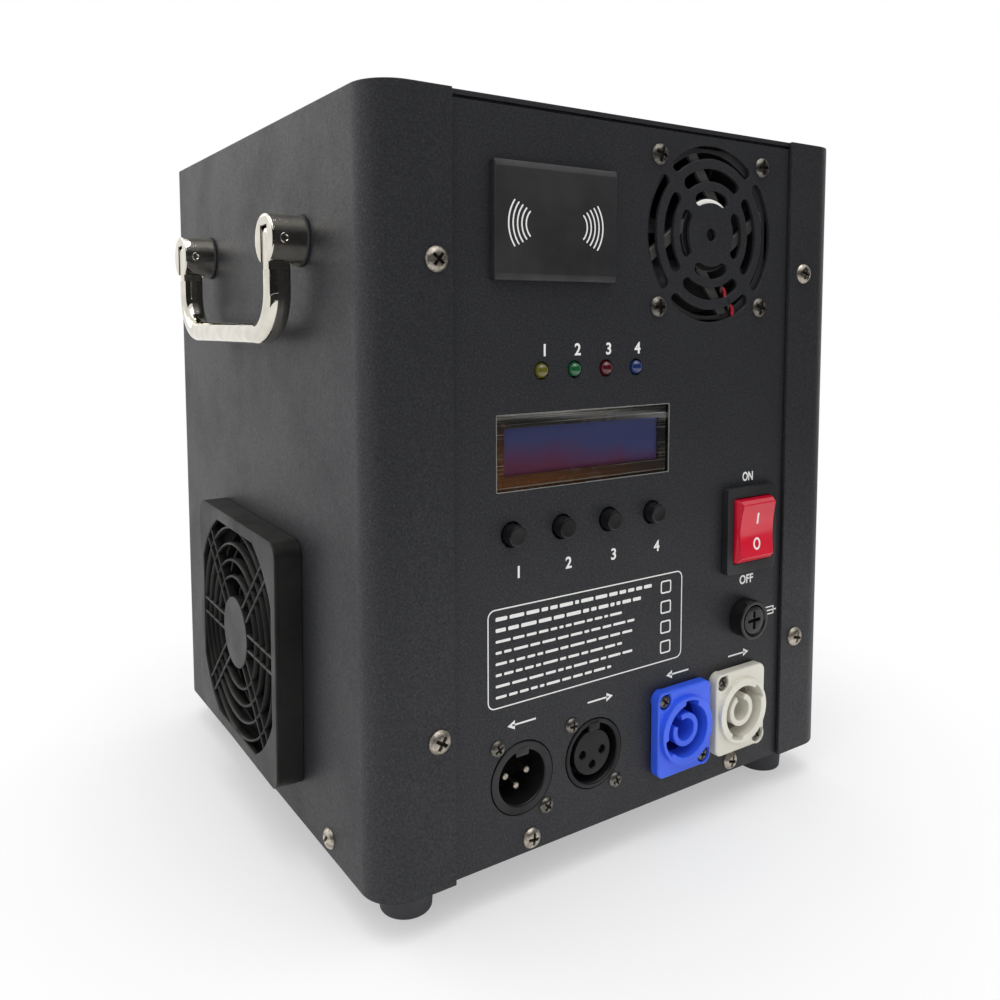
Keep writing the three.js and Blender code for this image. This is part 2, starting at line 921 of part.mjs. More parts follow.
// A rotor along X: a hub with curved blades set round it.
function fanRotor(hub, bore, x0, x1) {
  const bladeFront = x0 + bladeInset;
  const bladeBack = x1 - bladeInset;
  const chord = bladeBack - bladeFront;
  const tip = bore - tipGap;
  const arcRise = chord / 2;
  const section = [];
  const steps = 2;
  for (const face of [-1, 1])
    for (let i = 0; i <= steps; i += 1) {
      const share = face < 0 ? i / steps : 1 - i / steps;
      const lean = arcRise * Math.sin(share * 90 * degrees);
      section.push(at(lean + (face * bladeThick) / 2, bladeFront + chord * share));
    }
  const reach = Math.sqrt(tip ** 2 - (arcRise + bladeThick) ** 2);
  const blades = Array.from({ length: bladeCount }, (_, i) =>
    slabZ(section.slice().reverse(), hub - bladeThick, reach)
      .rotateZ(-Math.PI / 2)
      .rotateX((i / bladeCount) * 2 * Math.PI),
  );
  return join(rodX(hub, 0, 0, x0, x1, sides.medium), ...blades);
}

function makeSideFan() {
  const fan = group(innerWall, sideFanY, sideFanZ);
  const frame = fanFrame(
    sideFanSize,
    sideFanDepth,
    sideFanBore,
    sideFanHub,
    [30, 150, 270],
    false,
  );
  const rotorEnd = sideFanDepth - strutDepth - fitGap;
  piece("side_fan_frame", frame, blackPlastic, fan);
  piece("side_fan_rotor", fanRotor(sideFanHub, sideFanBore, fitGap, rotorEnd), blackPlastic, fan);
}

function makeExhaustFan() {
  const fan = group(exhaustX, behindPanel, exhaustZ, Math.PI / 2);
  const frame = fanFrame(
    exhaustSize,
    exhaustDepth,
    exhaustBore,
    exhaustHub,
    [15, 105, 195, 285],
    true,
  );
  const rotor = fanRotor(exhaustHub, exhaustBore, strutDepth + fitGap, exhaustDepth - fitGap);
  piece("exhaust_fan_frame", frame, blackPlastic, fan);
  piece("exhaust_fan_rotor", rotor, blackPlastic, fan);
}

// The display: a board with a bezel that reaches into the window, under a clear pane.
function makeDisplay() {
  const bezelY = panelBack + fitGap;
  const boardY = bezelY + lcdDepth;
  const view = centredRect(lcdX, lcdZ, lcdViewWidth, lcdViewHeight);
  const bezel = cut(
    slabY(centredRect(lcdX, lcdZ, lcdBezelWidth, lcdBezelHeight), bezelY, boardY),
    slabY(view, bezelY - overrun, bezelY + lcdViewDepth),
  );
  const board = slabY(
    centredRect(lcdX, lcdZ, lcdBoardWidth, lcdBoardHeight),
    boardY - boardThick / 2,
    boardY + boardThick / 2,
  );
  const postX = (lcdBoardWidth / 2) - lcdPostRadius;
  const postZ = (lcdBoardHeight / 2) - lcdPostRadius;
  const posts = [-1, 1].flatMap((sx) =>
    [-1, 1].map((sz) =>
      rodY(lcdPostRadius, lcdX + sx * postX, lcdZ + sz * postZ, behindPanel, boardY, sides.tiny),
    ),
  );
  piece("lcd_module", join(bezel, board, ...posts), blackPlastic);
  const pane = slabY(
    centredRect(lcdX, lcdZ, windowWidth - 2 * fitGap, windowHeight - 2 * fitGap),
    panelFront + paneInset,
    panelBack,
  );
  piece("lcd_window", pane, clearPane);
}

function makeControls() {
  const lenses = {
    led_yellow: yellowLens,
    led_green: greenLens,
    led_red: redLens,
    led_blue: blueLens,
  };
  const rimBack = behindPanel + ledBase;
  const dome = arc(0, 0, ledRadius, 0, 90, 2).map((point) => [point.x, point.y]);
  const domeBase = ledProud - ledRadius - panelFront;
  const lamp = [
    [0, -rimBack],
    [ledRadius + ledRim, -rimBack],
    [ledRadius + ledRim, -behindPanel],
    [ledRadius, -behindPanel],
    ...dome.map(([radius, rise]) => [radius, domeBase + rise]),
  ];
  Object.entries(lenses).forEach(([name, material], i) => {
    const x = ledX + i * ledPitch;
    const lens = turnedZ(lamp, sides.button).rotateX(Math.PI / 2);
    piece(name, lens.translate(x, 0, ledZ), material);
  });

  const capFront = panelFront - buttonProud;
  const capBack = behindPanel + fitGap + buttonRim;
  const cap = [
    [0, -capBack],
    [buttonRadius + buttonRim, -capBack],
    [buttonRadius + buttonRim, -behindPanel - fitGap],
    [buttonRadius, -behindPanel - fitGap],
    [buttonRadius, -capFront - fitGap],
    [buttonRadius - fitGap, -capFront],
    [0, -capFront],
  ];
  const buttons = [0, 1, 2, 3].map((i) => buttonX + i * buttonPitch);
  buttons.forEach((x, i) => {
    const geometry = turnedZ(cap, sides.button).rotateX(Math.PI / 2);
    piece(`button_${i + 1}`, geometry.translate(x, 0, buttonZ), blackPlastic);
  });

  const stemFront = capBack + buttonTravel + fitGap;
  const boardOutline = rect(controlLeft, controlBottom, controlRight, controlTop);
  const posts = [controlLeft + controlInset, controlRight - controlInset].flatMap((x) =>
    [controlBottom + controlInset, controlTop - controlInset].map((z) =>
      rodY(boardPost, x, z, behindPanel, controlY + boardThick / 2, sides.tiny),
    ),
  );
  const switches = buttons.flatMap((x) => [
    slabY(
      centredRect(x, buttonZ, tactBody, tactBody),
      controlY - tactDepth,
      controlY + boardThick / 2,
    ),
    rodY(tactStem, x, buttonZ, stemFront, controlY - tactDepth / 2, sides.tiny),
  ]);
  const board = slabY(boardOutline, controlY, controlY + boardThick);
  piece("control_board", join(board, ...posts, ...switches), boardGreen);
}

// The mains switch: a bezel and well in the panel, and a V-faced rocker on stubs.
function makeSwitch() {
  const pivotY = bezelFront + rockerPivotDepth;
  const bodyBack = panelBack + switchBodyDepth;
  const bezel = slabY(
    centredRect(switchX, switchZ, bezelWidth, bezelHeight),
    bezelFront + bezelEdge,
    panelFront - seatGap,
  );
  const bezelTop = slabY(
    centredRect(switchX, switchZ, bezelWidth - bezelEdge, bezelHeight - bezelEdge),
    bezelFront,
    bezelFront + 2 * bezelEdge,
  );
  const housing = slabY(
    centredRect(switchX, switchZ, switchBodyWidth, switchBodyHeight),
    bezelFront + bezelEdge,
    bodyBack,
  );
  const terminals = [-1, 1].flatMap((sx) =>
    [-1, 1].map((sz) =>
      slabY(
        centredRect(
          switchX + (sx * switchBodyWidth) / 4,
          switchZ + (sz * switchBodyHeight) / 4,
          terminalThick,
          terminalWidth,
        ),
        bodyBack - overrun,
        bodyBack + terminalLength,
      ),
    ),
  );
  const well = slabY(
    centredRect(switchX, switchZ, rockerWell, rockerWellHeight),
    bezelFront - overrun,
    bezelFront + rockerWellDepth,
  );
  const stubReach = rockerWell / 2 + (switchBodyWidth - rockerWell) / 4;
  const socket = rodX(
    rockerStub + runGap,
    pivotY,
    switchZ,
    switchX - stubReach - runGap,
    switchX + stubReach + runGap,
    sides.small,
  );
  const shell = cut(join(bezel, bezelTop, housing, ...terminals), well, socket);
  piece("switch_housing", shell, blackPlastic);

  // The rocker's ends are arcs about its pivot, so they keep clear of the well as it tips.
  const face = rockerFace;
  const endAngle = rockerEnd / degrees;
  const tailAngle = Math.asin(rockerTail / rockerRadius) / degrees;
  const upper = arc(0, 0, rockerRadius, endAngle, -tailAngle, 4).map((p) => at(-p.y, p.x));
  const lower = arc(0, 0, rockerRadius, -tailAngle, endAngle, 4).map((p) => at(-p.y, -p.x));
  const outline = [at(rockerDip - face, 0), ...upper, ...lower].reverse();
  const half = rockerWidth / 2;
  const taper = slabZ(
    [
      at(-half, rockerTail + overrun),
      at(-half, -rockerPivotDepth),
      at(-rockerFaceWidth / 2, -face),
      at(-rockerFaceWidth / 2, -face - rockerProud),
      at(rockerFaceWidth / 2, -face - rockerProud),
      at(rockerFaceWidth / 2, -face),
      at(half, -rockerPivotDepth),
      at(half, rockerTail + overrun),
    ],
    -rockerRadius - overrun,
    rockerRadius + overrun,
  );
  const rocker = join(
    common(slabX(outline, -half, half), taper),
    rodX(rockerStub, 0, 0, -stubReach, stubReach, sides.small),
  );
  const mesh = piece("switch_rocker", rocker, redPlastic);
  mesh.position.set(switchX, pivotY, switchZ);
  mesh.rotation.x = rockerTilt * degrees;
}

function makeFuse() {
  const capFront = fuseFront + seatGap;
  const capBack = capFront + fuseCapLength;
  const linkFront = capBack - fusePocket + fitGap;
  const linkBack = linkFront + fuseLinkLength;
  const capBore = fuseCapRadius + fitGap;
  const linkBore = fuseLinkRadius + fitGap;
  const holder = turnedY([
    [0, -linkBack - fitGap - sheet],
    [fuseBarrel, -linkBack - fitGap - sheet],
    [fuseBarrel, seatGap - panelFront],
    [fuseCollar, seatGap - panelFront],
    [fuseCollar, -fuseFront - fitGap],
    [fuseCollar - fitGap, -fuseFront],
    [capBore, -fuseFront],
    [capBore, -capBack - fitGap],
    [linkBore, -capBack - fitGap],
    [linkBore, -linkBack - fitGap],
    [0, -linkBack - fitGap],
  ]);
  piece("fuse_holder", flipped(holder).translate(fuseX, 0, fuseZ), blackPlastic);

  const cap = flipped(
    turnedY([
      [0, -capBack + fusePocket],
      [linkBore, -capBack + fusePocket],
      [linkBore, -capBack],
      [fuseCapRadius, -capBack],
      [fuseCapRadius, -capFront],
      [0, -capFront],
    ]),
  );
  const cross = [0, 90].map((turn) =>
    slabY(
      centredRect(0, 0, fuseCross, fuseCrossLength),
      capFront - overrun,
      capFront + fuseCrossDepth,
    ).rotateY(turn * degrees),
  );
  piece("fuse_cap", cut(cap, ...cross).translate(fuseX, 0, fuseZ), blackPlastic);
  const link = rodY(fuseLinkRadius, fuseX, fuseZ, linkFront, linkBack, sides.small);
  piece("fuse_link", link, glass);
}

// A turned profile along Y lists its heights from back to front, so its points read -y.
function flipped(geometry) {
  return geometry.rotateX(Math.PI);
}

function socketFlange(x, y0, y1) {
  return slabY(centredRect(x, socketZ, flangeWidth, flangeHeight, flangeCorner), y0, y1);
}

function contactPlaces(x) {
  return [
    [x - contactCircle, socketZ],
    [x + contactCircle, socketZ],
    [x, socketZ - contactCircle],
  ];
}

// Three-pole signal sockets, held behind the panel with their rims in its holes.
function makeSignalSockets() {
  const front = panelFront - seatGap;
  const back = behindPanel + dmxDepth;
  const shellOf = (x) =>
    join(
      socketFlange(x, behindPanel, behindPanel + dmxFlange),
      rodY(dmxRim, x, socketZ, front, behindPanel + dmxFlange, sides.round),
      rodY(dmxBody, x, socketZ, behindPanel, back, sides.round),
    );
  const cupBottom = front + dmxCupDepth;
  const pins = contactPlaces(dmxInX).map(([x, z]) =>
    rodY(dmxPin, x, z, front + dmxPinInset, cupBottom + overrun, sides.tiny),
  );
  const latch = slabY(
    centredRect(dmxInX, socketZ + dmxCup, latchWidth, latchWidth),
    front - overrun,
    front + latchDepth,
  );
  const cup = rodY(dmxCup, dmxInX, socketZ, front - overrun, cupBottom, sides.round);
  const male = join(cut(shellOf(dmxInX), cup, latch), ...pins);
  piece("dmx_in_socket", male, blackPlastic);

  const groove = cut(
    rodY(dmxGroove, dmxOutX, socketZ, front - overrun, front + dmxGrooveDepth, sides.round),
    rodY(dmxInsert, dmxOutX, socketZ, front + dmxInsertInset, front + 2 * dmxGrooveDepth, sides.medium),
  );
  const holes = contactPlaces(dmxOutX).map(([x, z]) =>
    rodY(dmxHole, x, z, front, front + dmxHoleDepth, sides.tiny),
  );
  piece("dmx_out_socket", cut(shellOf(dmxOutX), groove, ...holes), blackPlastic);
}

// Locking mains sockets: a thick flange, a raised ring, a keyed cup and a split centre post.
function makePowerSockets() {
  const ringFront = powerFront - powerRingProud;
  const cupBottom = ringFront + powerCupDepth;
  const sockets = {
    power_in_socket: [powerInX, bluePlastic, 135, [80, 205]],
    power_out_socket: [powerOutX, ivoryPlastic, 95, [35, 250]],
  };
  for (const [name, [x, material, slotTurn, keyTurns]] of Object.entries(sockets)) {
    const flange = new THREE.ExtrudeGeometry(
      new THREE.Shape(centredRect(0, 0, flangeWidth, flangeHeight, flangeCorner)),
      {
        depth: 2 * (powerFlange - powerBevel),
        bevelEnabled: true,
        bevelThickness: powerBevel,
        bevelSize: powerBevel,
        bevelOffset: -powerBevel,
        bevelSegments: 1,
      },
    )
      .rotateX(Math.PI / 2)
      .translate(x, 2 * (powerFlange - powerBevel) + powerFront + powerBevel, socketZ);
    const behind = slabY(
      centredRect(x, socketZ, 2 * flangeWidth, 2 * flangeHeight),
      panelFront - seatGap,
      panelFront + powerDepth,
    );
    const raised = rodY(powerRing, x, socketZ, ringFront, powerFront + powerBevel, sides.round);
    const back = rodY(powerBody, x, socketZ, powerFront, panelFront + powerDepth, sides.round);
    const shell = join(cut(flange, behind), raised, back);
    const cup = rodY(powerCup, x, socketZ, ringFront - overrun, cupBottom, sides.round);
    const keys = keyTurns.map((turn) =>
      slabY(
        rect(0, -powerKeyWidth / 2, powerKeyReach, powerKeyWidth / 2),
        ringFront - overrun,
        cupBottom,
      )
        .rotateY(-turn * degrees)
        .translate(x, 0, socketZ),
    );
    const post = rodY(powerPost, x, socketZ, ringFront + powerPostInset, cupBottom + overrun);
    const bore = rodY(powerPostBore, x, socketZ, ringFront - overrun, cupBottom, sides.medium);
    const slot = slabY(
      rect(0, -powerPostSlot / 2, powerPost + fitGap, powerPostSlot / 2),
      ringFront - overrun,
      cupBottom,
    )
      .rotateY(-slotTurn * degrees)
      .translate(x, 0, socketZ);
    piece(name, join(cut(shell, cup, ...keys), cut(post, bore, slot)), material);
  }
}

// The bevelled cover of the remote receiver, with a tub behind the panel, and its board.
function makeRemote() {
  const front = panelFront - seatGap - remoteProud;
  const tubBack = behindPanel + remoteBackDepth;
  const plate = new THREE.ExtrudeGeometry(
    new THREE.Shape(centredRect(0, 0, remoteWidth, remoteHeight)),
    {
      depth: 2 * (remoteProud - remoteBevel),
      bevelEnabled: true,
      bevelThickness: remoteBevel,
      bevelSize: remoteBevel,
      bevelOffset: -remoteBevel,
      bevelSegments: 1,
    },
  )
    .rotateX(Math.PI / 2)
    .translate(remoteX, 2 * (remoteProud - remoteBevel) + front + remoteBevel, remoteZ);
  const behind = slabY(
    centredRect(remoteX, remoteZ, 2 * remoteWidth, 2 * remoteHeight),
    panelFront - seatGap,
    tubBack,
  );
  const tub = slabY(
    centredRect(remoteX, remoteZ, remoteBackWidth, remoteBackHeight),
    front + remoteBevel,
    tubBack,
  );
  const hollow = slabY(
    centredRect(
      remoteX,
      remoteZ,
      remoteBackWidth - 2 * remoteWall,
      remoteBackHeight - 2 * remoteWall,
    ),
    panelFront,
    tubBack + overrun,
  );
  piece("remote_cover", cut(join(cut(plate, behind), tub), hollow), blackPlastic);
  const board = slabY(
    centredRect(remoteX, remoteZ, remoteBackWidth, remoteBackHeight),
    tubBack + fitGap,
    tubBack + fitGap + boardThick,
  );
  const coil = rodY(
    tactBody / 2,
    remoteX,
    remoteZ,
    tubBack + fitGap - remoteWall,
    tubBack + fitGap + boardThick / 2,
    8,
  );
  piece("receiver_board", join(board, coil), boardGreen);
}

function makeNozzle() {
  const top = caseHeight + seatGap + nozzleFlangeThick;
  const bore = nozzleOuter - nozzleWall;
  const bottom = barrelZ + seatGap + chamberHeight / 2;
  const profile = [
    [bore, bottom],
    [nozzleOuter, bottom],
    [nozzleOuter, caseHeight + seatGap],
    [nozzleFlange, caseHeight + seatGap],
    [nozzleFlange, top - nozzleFlare / 2],
    [nozzleFlange - nozzleFlare / 2, top],
    [bore + nozzleFlare, top],
    [bore, top - nozzleFlare],
    [bore, bottom],
  ];
  piece("nozzle_tube", turnedZ(profile, sides.large).translate(nozzleX, driveY, 0), steel);
}

// The hopper hangs by its rim in the top plate, and its lid drops into its mouth.
function makeHopper() {
  const rimTop = caseHeight + seatGap + hopperRimThick;
  const coneTop = caseHeight - hopperStraight;
  const coneBottom = coneTop - hopperConeHeight;
  const mouth = hopperOuter - hopperWall;
  const spoutBore = spoutOuter - hopperWall;
  const profile = [
    [spoutBore, coneBottom - spoutLength],
    [spoutOuter, coneBottom - spoutLength],
    [spoutOuter, coneBottom],
    [hopperOuter, coneTop],
    [hopperOuter, caseHeight + seatGap],
    [hopperRim, caseHeight + seatGap],
    [hopperRim, rimTop],
    [mouth, rimTop],
    [mouth, coneTop],
    [spoutBore, coneBottom],
    [spoutBore, coneBottom - spoutLength],
  ];
  piece("hopper", turnedZ(profile, sides.large).translate(hopperX, driveY, 0), steel);

  const sealBottom = rimTop + seatGap;
  const seal = turnedZ(
    [
      [sealInner, sealBottom],
      [sealOuter, sealBottom],
      [sealOuter, sealBottom + sealThick],
      [sealInner, sealBottom + sealThick],
      [sealInner, sealBottom],
    ],
    sides.round,
  );
  piece("hopper_seal", seal.translate(hopperX, driveY, 0), redRubber);

  const lidBottom = sealBottom + sealThick + seatGap;
  const plug = mouth - fitGap;
  const disc = turnedZ(
    [
      [0, rimTop - lidPlug],
      [plug, rimTop - lidPlug],
      [plug, lidBottom],
      [lidRadius, lidBottom],
      [lidRadius, lidBottom + lidThick - lidFluteRadius / 2],
      [lidRadius - lidFluteRadius / 2, lidBottom + lidThick],
      [0, lidBottom + lidThick],
    ],
    sides.large,
  );
  const flutes = Array.from({ length: lidFlutes }, (_, i) => {
    const angle = (i / lidFlutes) * 2 * Math.PI;
    const x = lidRadius * Math.cos(angle);
    const y = lidRadius * Math.sin(angle);
    return rodZ(lidFluteRadius, x, y, lidBottom - overrun, lidBottom + lidThick + overrun, 6);
  });
  piece("hopper_lid", cut(disc, ...flutes).translate(hopperX, driveY, 0), blackPlastic);
}

// One unbroken tube wound on the sleeve: a straight rod whose points are carried round a helix.
function makeCoil(sleeveOuter, middle) {
  const flat = Math.cos(Math.PI / coilSteps);
  const radius = (sleeveOuter + fitGap + coilWire) / flat;
  const length = coilTurns * coilPitch;
  const rows = coilTurns * coilSteps;
  const coil = new THREE.CylinderGeometry(coilWire, coilWire, length, 4, rows);
  const position = coil.getAttribute("position");
  for (let i = 0; i < position.count; i += 1) {
    const along = position.getY(i);
    const angle = (along / coilPitch) * 2 * Math.PI;
    const reach = radius + position.getX(i);
    const x = middle + along + position.getZ(i);
    position.setXYZ(i, x, reach * Math.cos(angle), reach * Math.sin(angle));
  }
  return coil.translate(0, driveY, barrelZ);
}

// The barrel carries powder from the hopper's spout to the spark chamber under the nozzle.
function makeBarrel() {
  const chamberBottom = barrelZ - chamberHeight / 2;
  const chamberTop = barrelZ + chamberHeight / 2;
  const spoutEnd = caseHeight - hopperStraight - hopperConeHeight - spoutLength;
  const portOuter = spoutOuter + barrelWall;
  const tube = rodX(barrelOuter, driveY, barrelZ, nozzleX, barrelRight, sides.medium);
  const chamber = rodZ(nozzleOuter, nozzleX, driveY, chamberBottom, chamberTop, sides.round);
  const port = rodZ(portOuter, hopperX, driveY, barrelZ, spoutEnd - seatGap, sides.small);
  const bore = rodX(barrelBore, driveY, barrelZ, nozzleX, barrelRight + overrun, sides.medium);
  const chamberHollow = rodZ(
    nozzleOuter - barrelWall,
    nozzleX,
    driveY,
    chamberBottom + barrelWall,
    chamberTop + overrun,
    sides.round,
  );
  const airHole = rodZ(
    ductWidth / 2 - blowerWall,
    nozzleX,
    driveY,
    chamberBottom - overrun,
    chamberTop,
    sides.small,
  );
  const portHole = rodZ(
    spoutOuter - hopperWall,
    hopperX,
    driveY,
    barrelZ,
    spoutEnd + overrun,
    sides.small,
  );
  const barrel = cut(join(tube, chamber, port), bore, chamberHollow, airHole, portHole);
  piece("heating_barrel", barrel, steel);

  const sleeveLeft = nozzleX + nozzleOuter + sleeveInset;
  const sleeveRight = sleeveLeft + sleeveLength;
  const sleeveInner = barrelOuter + fitGap;
  const sleeveOuter = sleeveInner + sleeveThick;
  const sleeve = turnedX(
    [
      [sleeveInner, sleeveLeft],
      [sleeveOuter, sleeveLeft],
      [sleeveOuter, sleeveRight],
      [sleeveInner, sleeveRight],
      [sleeveInner, sleeveLeft],
    ],
    sides.medium,
  );
  piece("ceramic_sleeve", sleeve.translate(0, driveY, barrelZ), ceramic);

  piece("induction_coil", makeCoil(sleeveOuter, (sleeveLeft + sleeveRight) / 2), copper);
}

// The feed screw: a shaft whose radius rises to one flight along a helix, and a coupling.
function makeFeedDrive() {
  const left = nozzleX + nozzleOuter - barrelWall + screwInset;
  const couplingLeft = barrelRight - couplingLength;
  const length = couplingLeft - left + fitGap;
  const rings = Math.round((length / screwPitch) * 5);
  const screw = new THREE.CylinderGeometry(screwShaft, screwShaft, length, sides.small, rings);
  screw.rotateZ(-Math.PI / 2);
  const position = screw.getAttribute("position");
  for (let i = 0; i < position.count; i += 1) {
    const y = position.getY(i);
    const z = position.getZ(i);
    const reach = Math.hypot(y, z);
    if (reach < screwShaft / 2) continue;
    const phase = (position.getX(i) / screwPitch) * 2 * Math.PI - Math.atan2(z, y);
    const rise = Math.max(0, Math.cos(phase)) ** 2;
    const radius = screwShaft + (screwRadius - screwShaft) * rise;
    position.setY(i, (y / reach) * radius);
    position.setZ(i, (z / reach) * radius);
  }
  screw.translate(left + length / 2, driveY, barrelZ);
  const coupling = cut(
    rodX(couplingRadius, driveY, barrelZ, couplingLeft, barrelRight - fitGap, sides.small),
    rodX(
      motorShaft + runGap,
      driveY,
      barrelZ,
      barrelRight - shaftReach - fitGap,
      barrelRight + overrun,
      sides.round,
    ),
  );
  piece("feed_screw", join(screw, coupling), steel);

  const gearLeft = barrelRight + seatGap;
  const gearRight = gearLeft + gearLength;
  const motor = join(
    rodX(gearRadius, driveY, barrelZ, gearLeft, gearRight),
    rodX(motorRadius, driveY, barrelZ, gearRight - overrun, gearRight + motorLength),
    rodX(motorShaft, driveY, barrelZ, barrelRight - shaftReach, gearLeft + overrun, sides.small),
  );
  piece("feed_motor", motor, steel);
}

// A spiral outline about the blower's shaft that grows by one turn's share of its growth.
function spiral(core) {
  return Array.from({ length: 21 }, (_, i) => {
    const share = i / 21;
    const angle = (share * 360 + 90) * degrees;
    const radius = core + blowerGrowth * share;
    return at(nozzleX + radius * Math.cos(angle), blowerZ + radius * Math.sin(angle));
  });
}

function makeBlower() {
  const front = driveY - blowerDepth / 2;
  const back = driveY + blowerDepth / 2;
  const ductTop = barrelZ - chamberHeight / 2 - seatGap;
  const half = ductWidth / 2;
  const footHalf = blowerFootWidth / 2;
  const outer = join(
    slabY(spiral(blowerCore), front, back),
    box(nozzleX - half, nozzleX + half, front, back, blowerZ, ductTop),
    box(nozzleX - footHalf, nozzleX + footHalf, front, back, floorTop, blowerZ - blowerCore / 2),
  );
  const inner = join(
    slabY(spiral(blowerCore - blowerWall), front + blowerWall, back - blowerWall),
    box(
      nozzleX - half + blowerWall,
      nozzleX + half - blowerWall,
      front + blowerWall,
      back - blowerWall,
      blowerZ,
      ductTop + overrun,
    ),
  );
  const inlet = rodY(blowerInlet, nozzleX, blowerZ, front - overrun, front + overrun, sides.medium);
  piece("blower_housing", cut(outer, inner, inlet), blackPlastic);

  const wheelBack = back - blowerWall - fitGap;
  const wheelFront = front + blowerWall + fitGap + impellerPlate;
  const blades = Array.from({ length: impellerBlades }, (_, i) =>
    box(
      impellerRadius - impellerBladeLength,
      impellerRadius,
      wheelFront,
      wheelBack,
      -bladeThick / 2,
      bladeThick / 2,
    )
      .rotateY((i / impellerBlades) * 2 * Math.PI)
      .translate(nozzleX, 0, blowerZ),
  );
  const wheel = join(
    rodY(impellerRadius, nozzleX, blowerZ, wheelBack - impellerPlate, wheelBack, sides.round),
    rodY(impellerHub, nozzleX, blowerZ, driveY, wheelBack, sides.tiny),
    ...blades,
  );
  piece("blower_impeller", wheel, blackPlastic);
}

function makeElectronics() {
  const supplyBack = supplyFront + supplyLength;
  const supply = cut(
    box(
      supplyLeft,
      supplyLeft + supplyWidth,
      supplyFront,
      supplyBack,
      floorTop,
      floorTop + supplyHeight,
    ),
    box(
      supplyLeft - overrun,
      supplyLeft + supplyWidth + overrun,
      supplyFront - overrun,
      supplyFront + supplyStep,
      floorTop + supplyStepHeight,
      floorTop + supplyHeight + overrun,
    ),
  );
  piece("power_supply", supply, steel);

  const wall = caseDepth - innerWall;
  const boardBack = wall - boardStandoff;
  const boardFront = boardBack - boardThick;
  const boardRight = boardLeft + boardWidth;
  const boardTop = boardBottom + boardHeight;
  const corner = 2 * boardPost;
  const posts = [boardLeft + corner, boardRight - corner].flatMap((x) =>
    [boardBottom + corner, boardTop - corner].map((z) =>
      rodY(boardPost, x, z, boardFront + boardThick / 2, wall, sides.tiny),
    ),
  );
  const relays = [0, 1, 2].map((i) => {
    const x = boardLeft + corner + i * (relaySize + corner);
    const z = boardTop - 3 * corner;
    const relay = rect(x, z - relaySize, x + relaySize, z);
    return slabY(relay, boardFront - relaySize, boardFront + boardThick / 2);
  });
  const capacitors = [0, 1].map((i) =>
    rodY(
      capacitorRadius,
      boardLeft + 3 * corner + i * (2 * capacitorRadius + corner),
      boardBottom + 4 * corner,
      boardFront - capacitorLength,
      boardFront + boardThick / 2,
      12,
    ),
  );
  const board = slabY(
    rect(boardLeft, boardBottom, boardRight, boardTop),
    boardFront,
    boardBack,
  );
  piece("main_board", join(board, ...posts, ...relays, ...capacitors), boardGreen);
}

makeCaseWrap();
makeBaseTray();
makeTopPlate();
makeFrontPanel();
makeFeet();
makeHandle("left", 0, Math.PI);
makeHandle("right", caseWidth, 0);
makeGuard();
makeSideFan();
makeExhaustFan();
makeDisplay();
makeControls();
makeSwitch();
makeFuse();
makeSignalSockets();
makePowerSockets();
makeRemote();
makeNozzle();
makeHopper();
makeBarrel();
makeFeedDrive();
makeBlower();
makeElectronics();

export default machine;
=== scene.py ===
"""Cold spark machine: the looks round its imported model, laid out as an add-on.

All shapes are worked out in millimetres from the case's front left bottom corner (x to the right
along the control front, y to the back, z up) and put into the frame's metres when a piece is made.
"""

import math

import bmesh
import bpy
import numpy as np
from mathutils import Matrix, Vector


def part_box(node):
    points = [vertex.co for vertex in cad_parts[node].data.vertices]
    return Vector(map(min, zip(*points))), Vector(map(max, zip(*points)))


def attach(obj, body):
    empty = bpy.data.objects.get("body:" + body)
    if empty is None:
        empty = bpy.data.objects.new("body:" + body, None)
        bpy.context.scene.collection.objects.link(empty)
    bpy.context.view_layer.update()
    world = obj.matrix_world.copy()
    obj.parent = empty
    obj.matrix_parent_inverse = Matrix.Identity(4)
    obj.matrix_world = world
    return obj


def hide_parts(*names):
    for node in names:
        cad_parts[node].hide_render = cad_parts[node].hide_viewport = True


bl_info = {
    "name": "Cold spark machine",
    "version": (1, 0, 0),
    "blender": (4, 5, 0),
    "location": "View3D > Sidebar > Spark Machine",
    "description": "Makes the visible pieces, finishes and studio of a cold spark machine",
    "category": "Object",
}

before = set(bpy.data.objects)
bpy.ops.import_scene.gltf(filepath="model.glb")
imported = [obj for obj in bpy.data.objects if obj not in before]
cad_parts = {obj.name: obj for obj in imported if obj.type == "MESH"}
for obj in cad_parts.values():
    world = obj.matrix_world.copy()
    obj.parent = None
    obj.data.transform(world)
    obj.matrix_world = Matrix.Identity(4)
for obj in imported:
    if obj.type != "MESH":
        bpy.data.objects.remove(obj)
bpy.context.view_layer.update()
CORNER = np.array(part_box("case_wrap")[0]) * 1000
SIZE = np.array(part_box("case_wrap")[1]) * 1000 - CORNER
TAU = 2 * math.pi

# Planes of the control front, from the case's front plane
PANEL, PANEL_BACK, BEHIND = 1.7, 3.2, 3.4
# The sheet's thickness, and the outer radius of the case's bends
SHEET, BEND = 1.5, 12.0
# Middles on a side wall (y, z), half the distance of a handle's posts, and how far its pins are out
FAN_SIDE, HANDLE, POST_HALF, PIN_OUT = (97.6, 57.0), (98.7, 196.2), 48.3, 8.1
# Middles on the front (x, z), and lone x and z values for rows of like pieces
FAN_FRONT = (133.5, 200.8)
LCD, REMOTE = (78.0, 130.2), (63.2, 200.6)
SWITCH, FUSE = (154.6, 93.3), (153.4, 59.4)
LAMPS = [58.9 + 13.15 * i for i in range(4)]
BUTTONS = [47.6 + 19.6 * i for i in range(4)]
LAMP_Z, BUTTON_Z, SOCKET_Z = 155.3, 104.9, 25.7
SIGNAL_IN, SIGNAL_OUT, POWER_IN, POWER_OUT = 51.6, 81.1, 119.6, 148.7
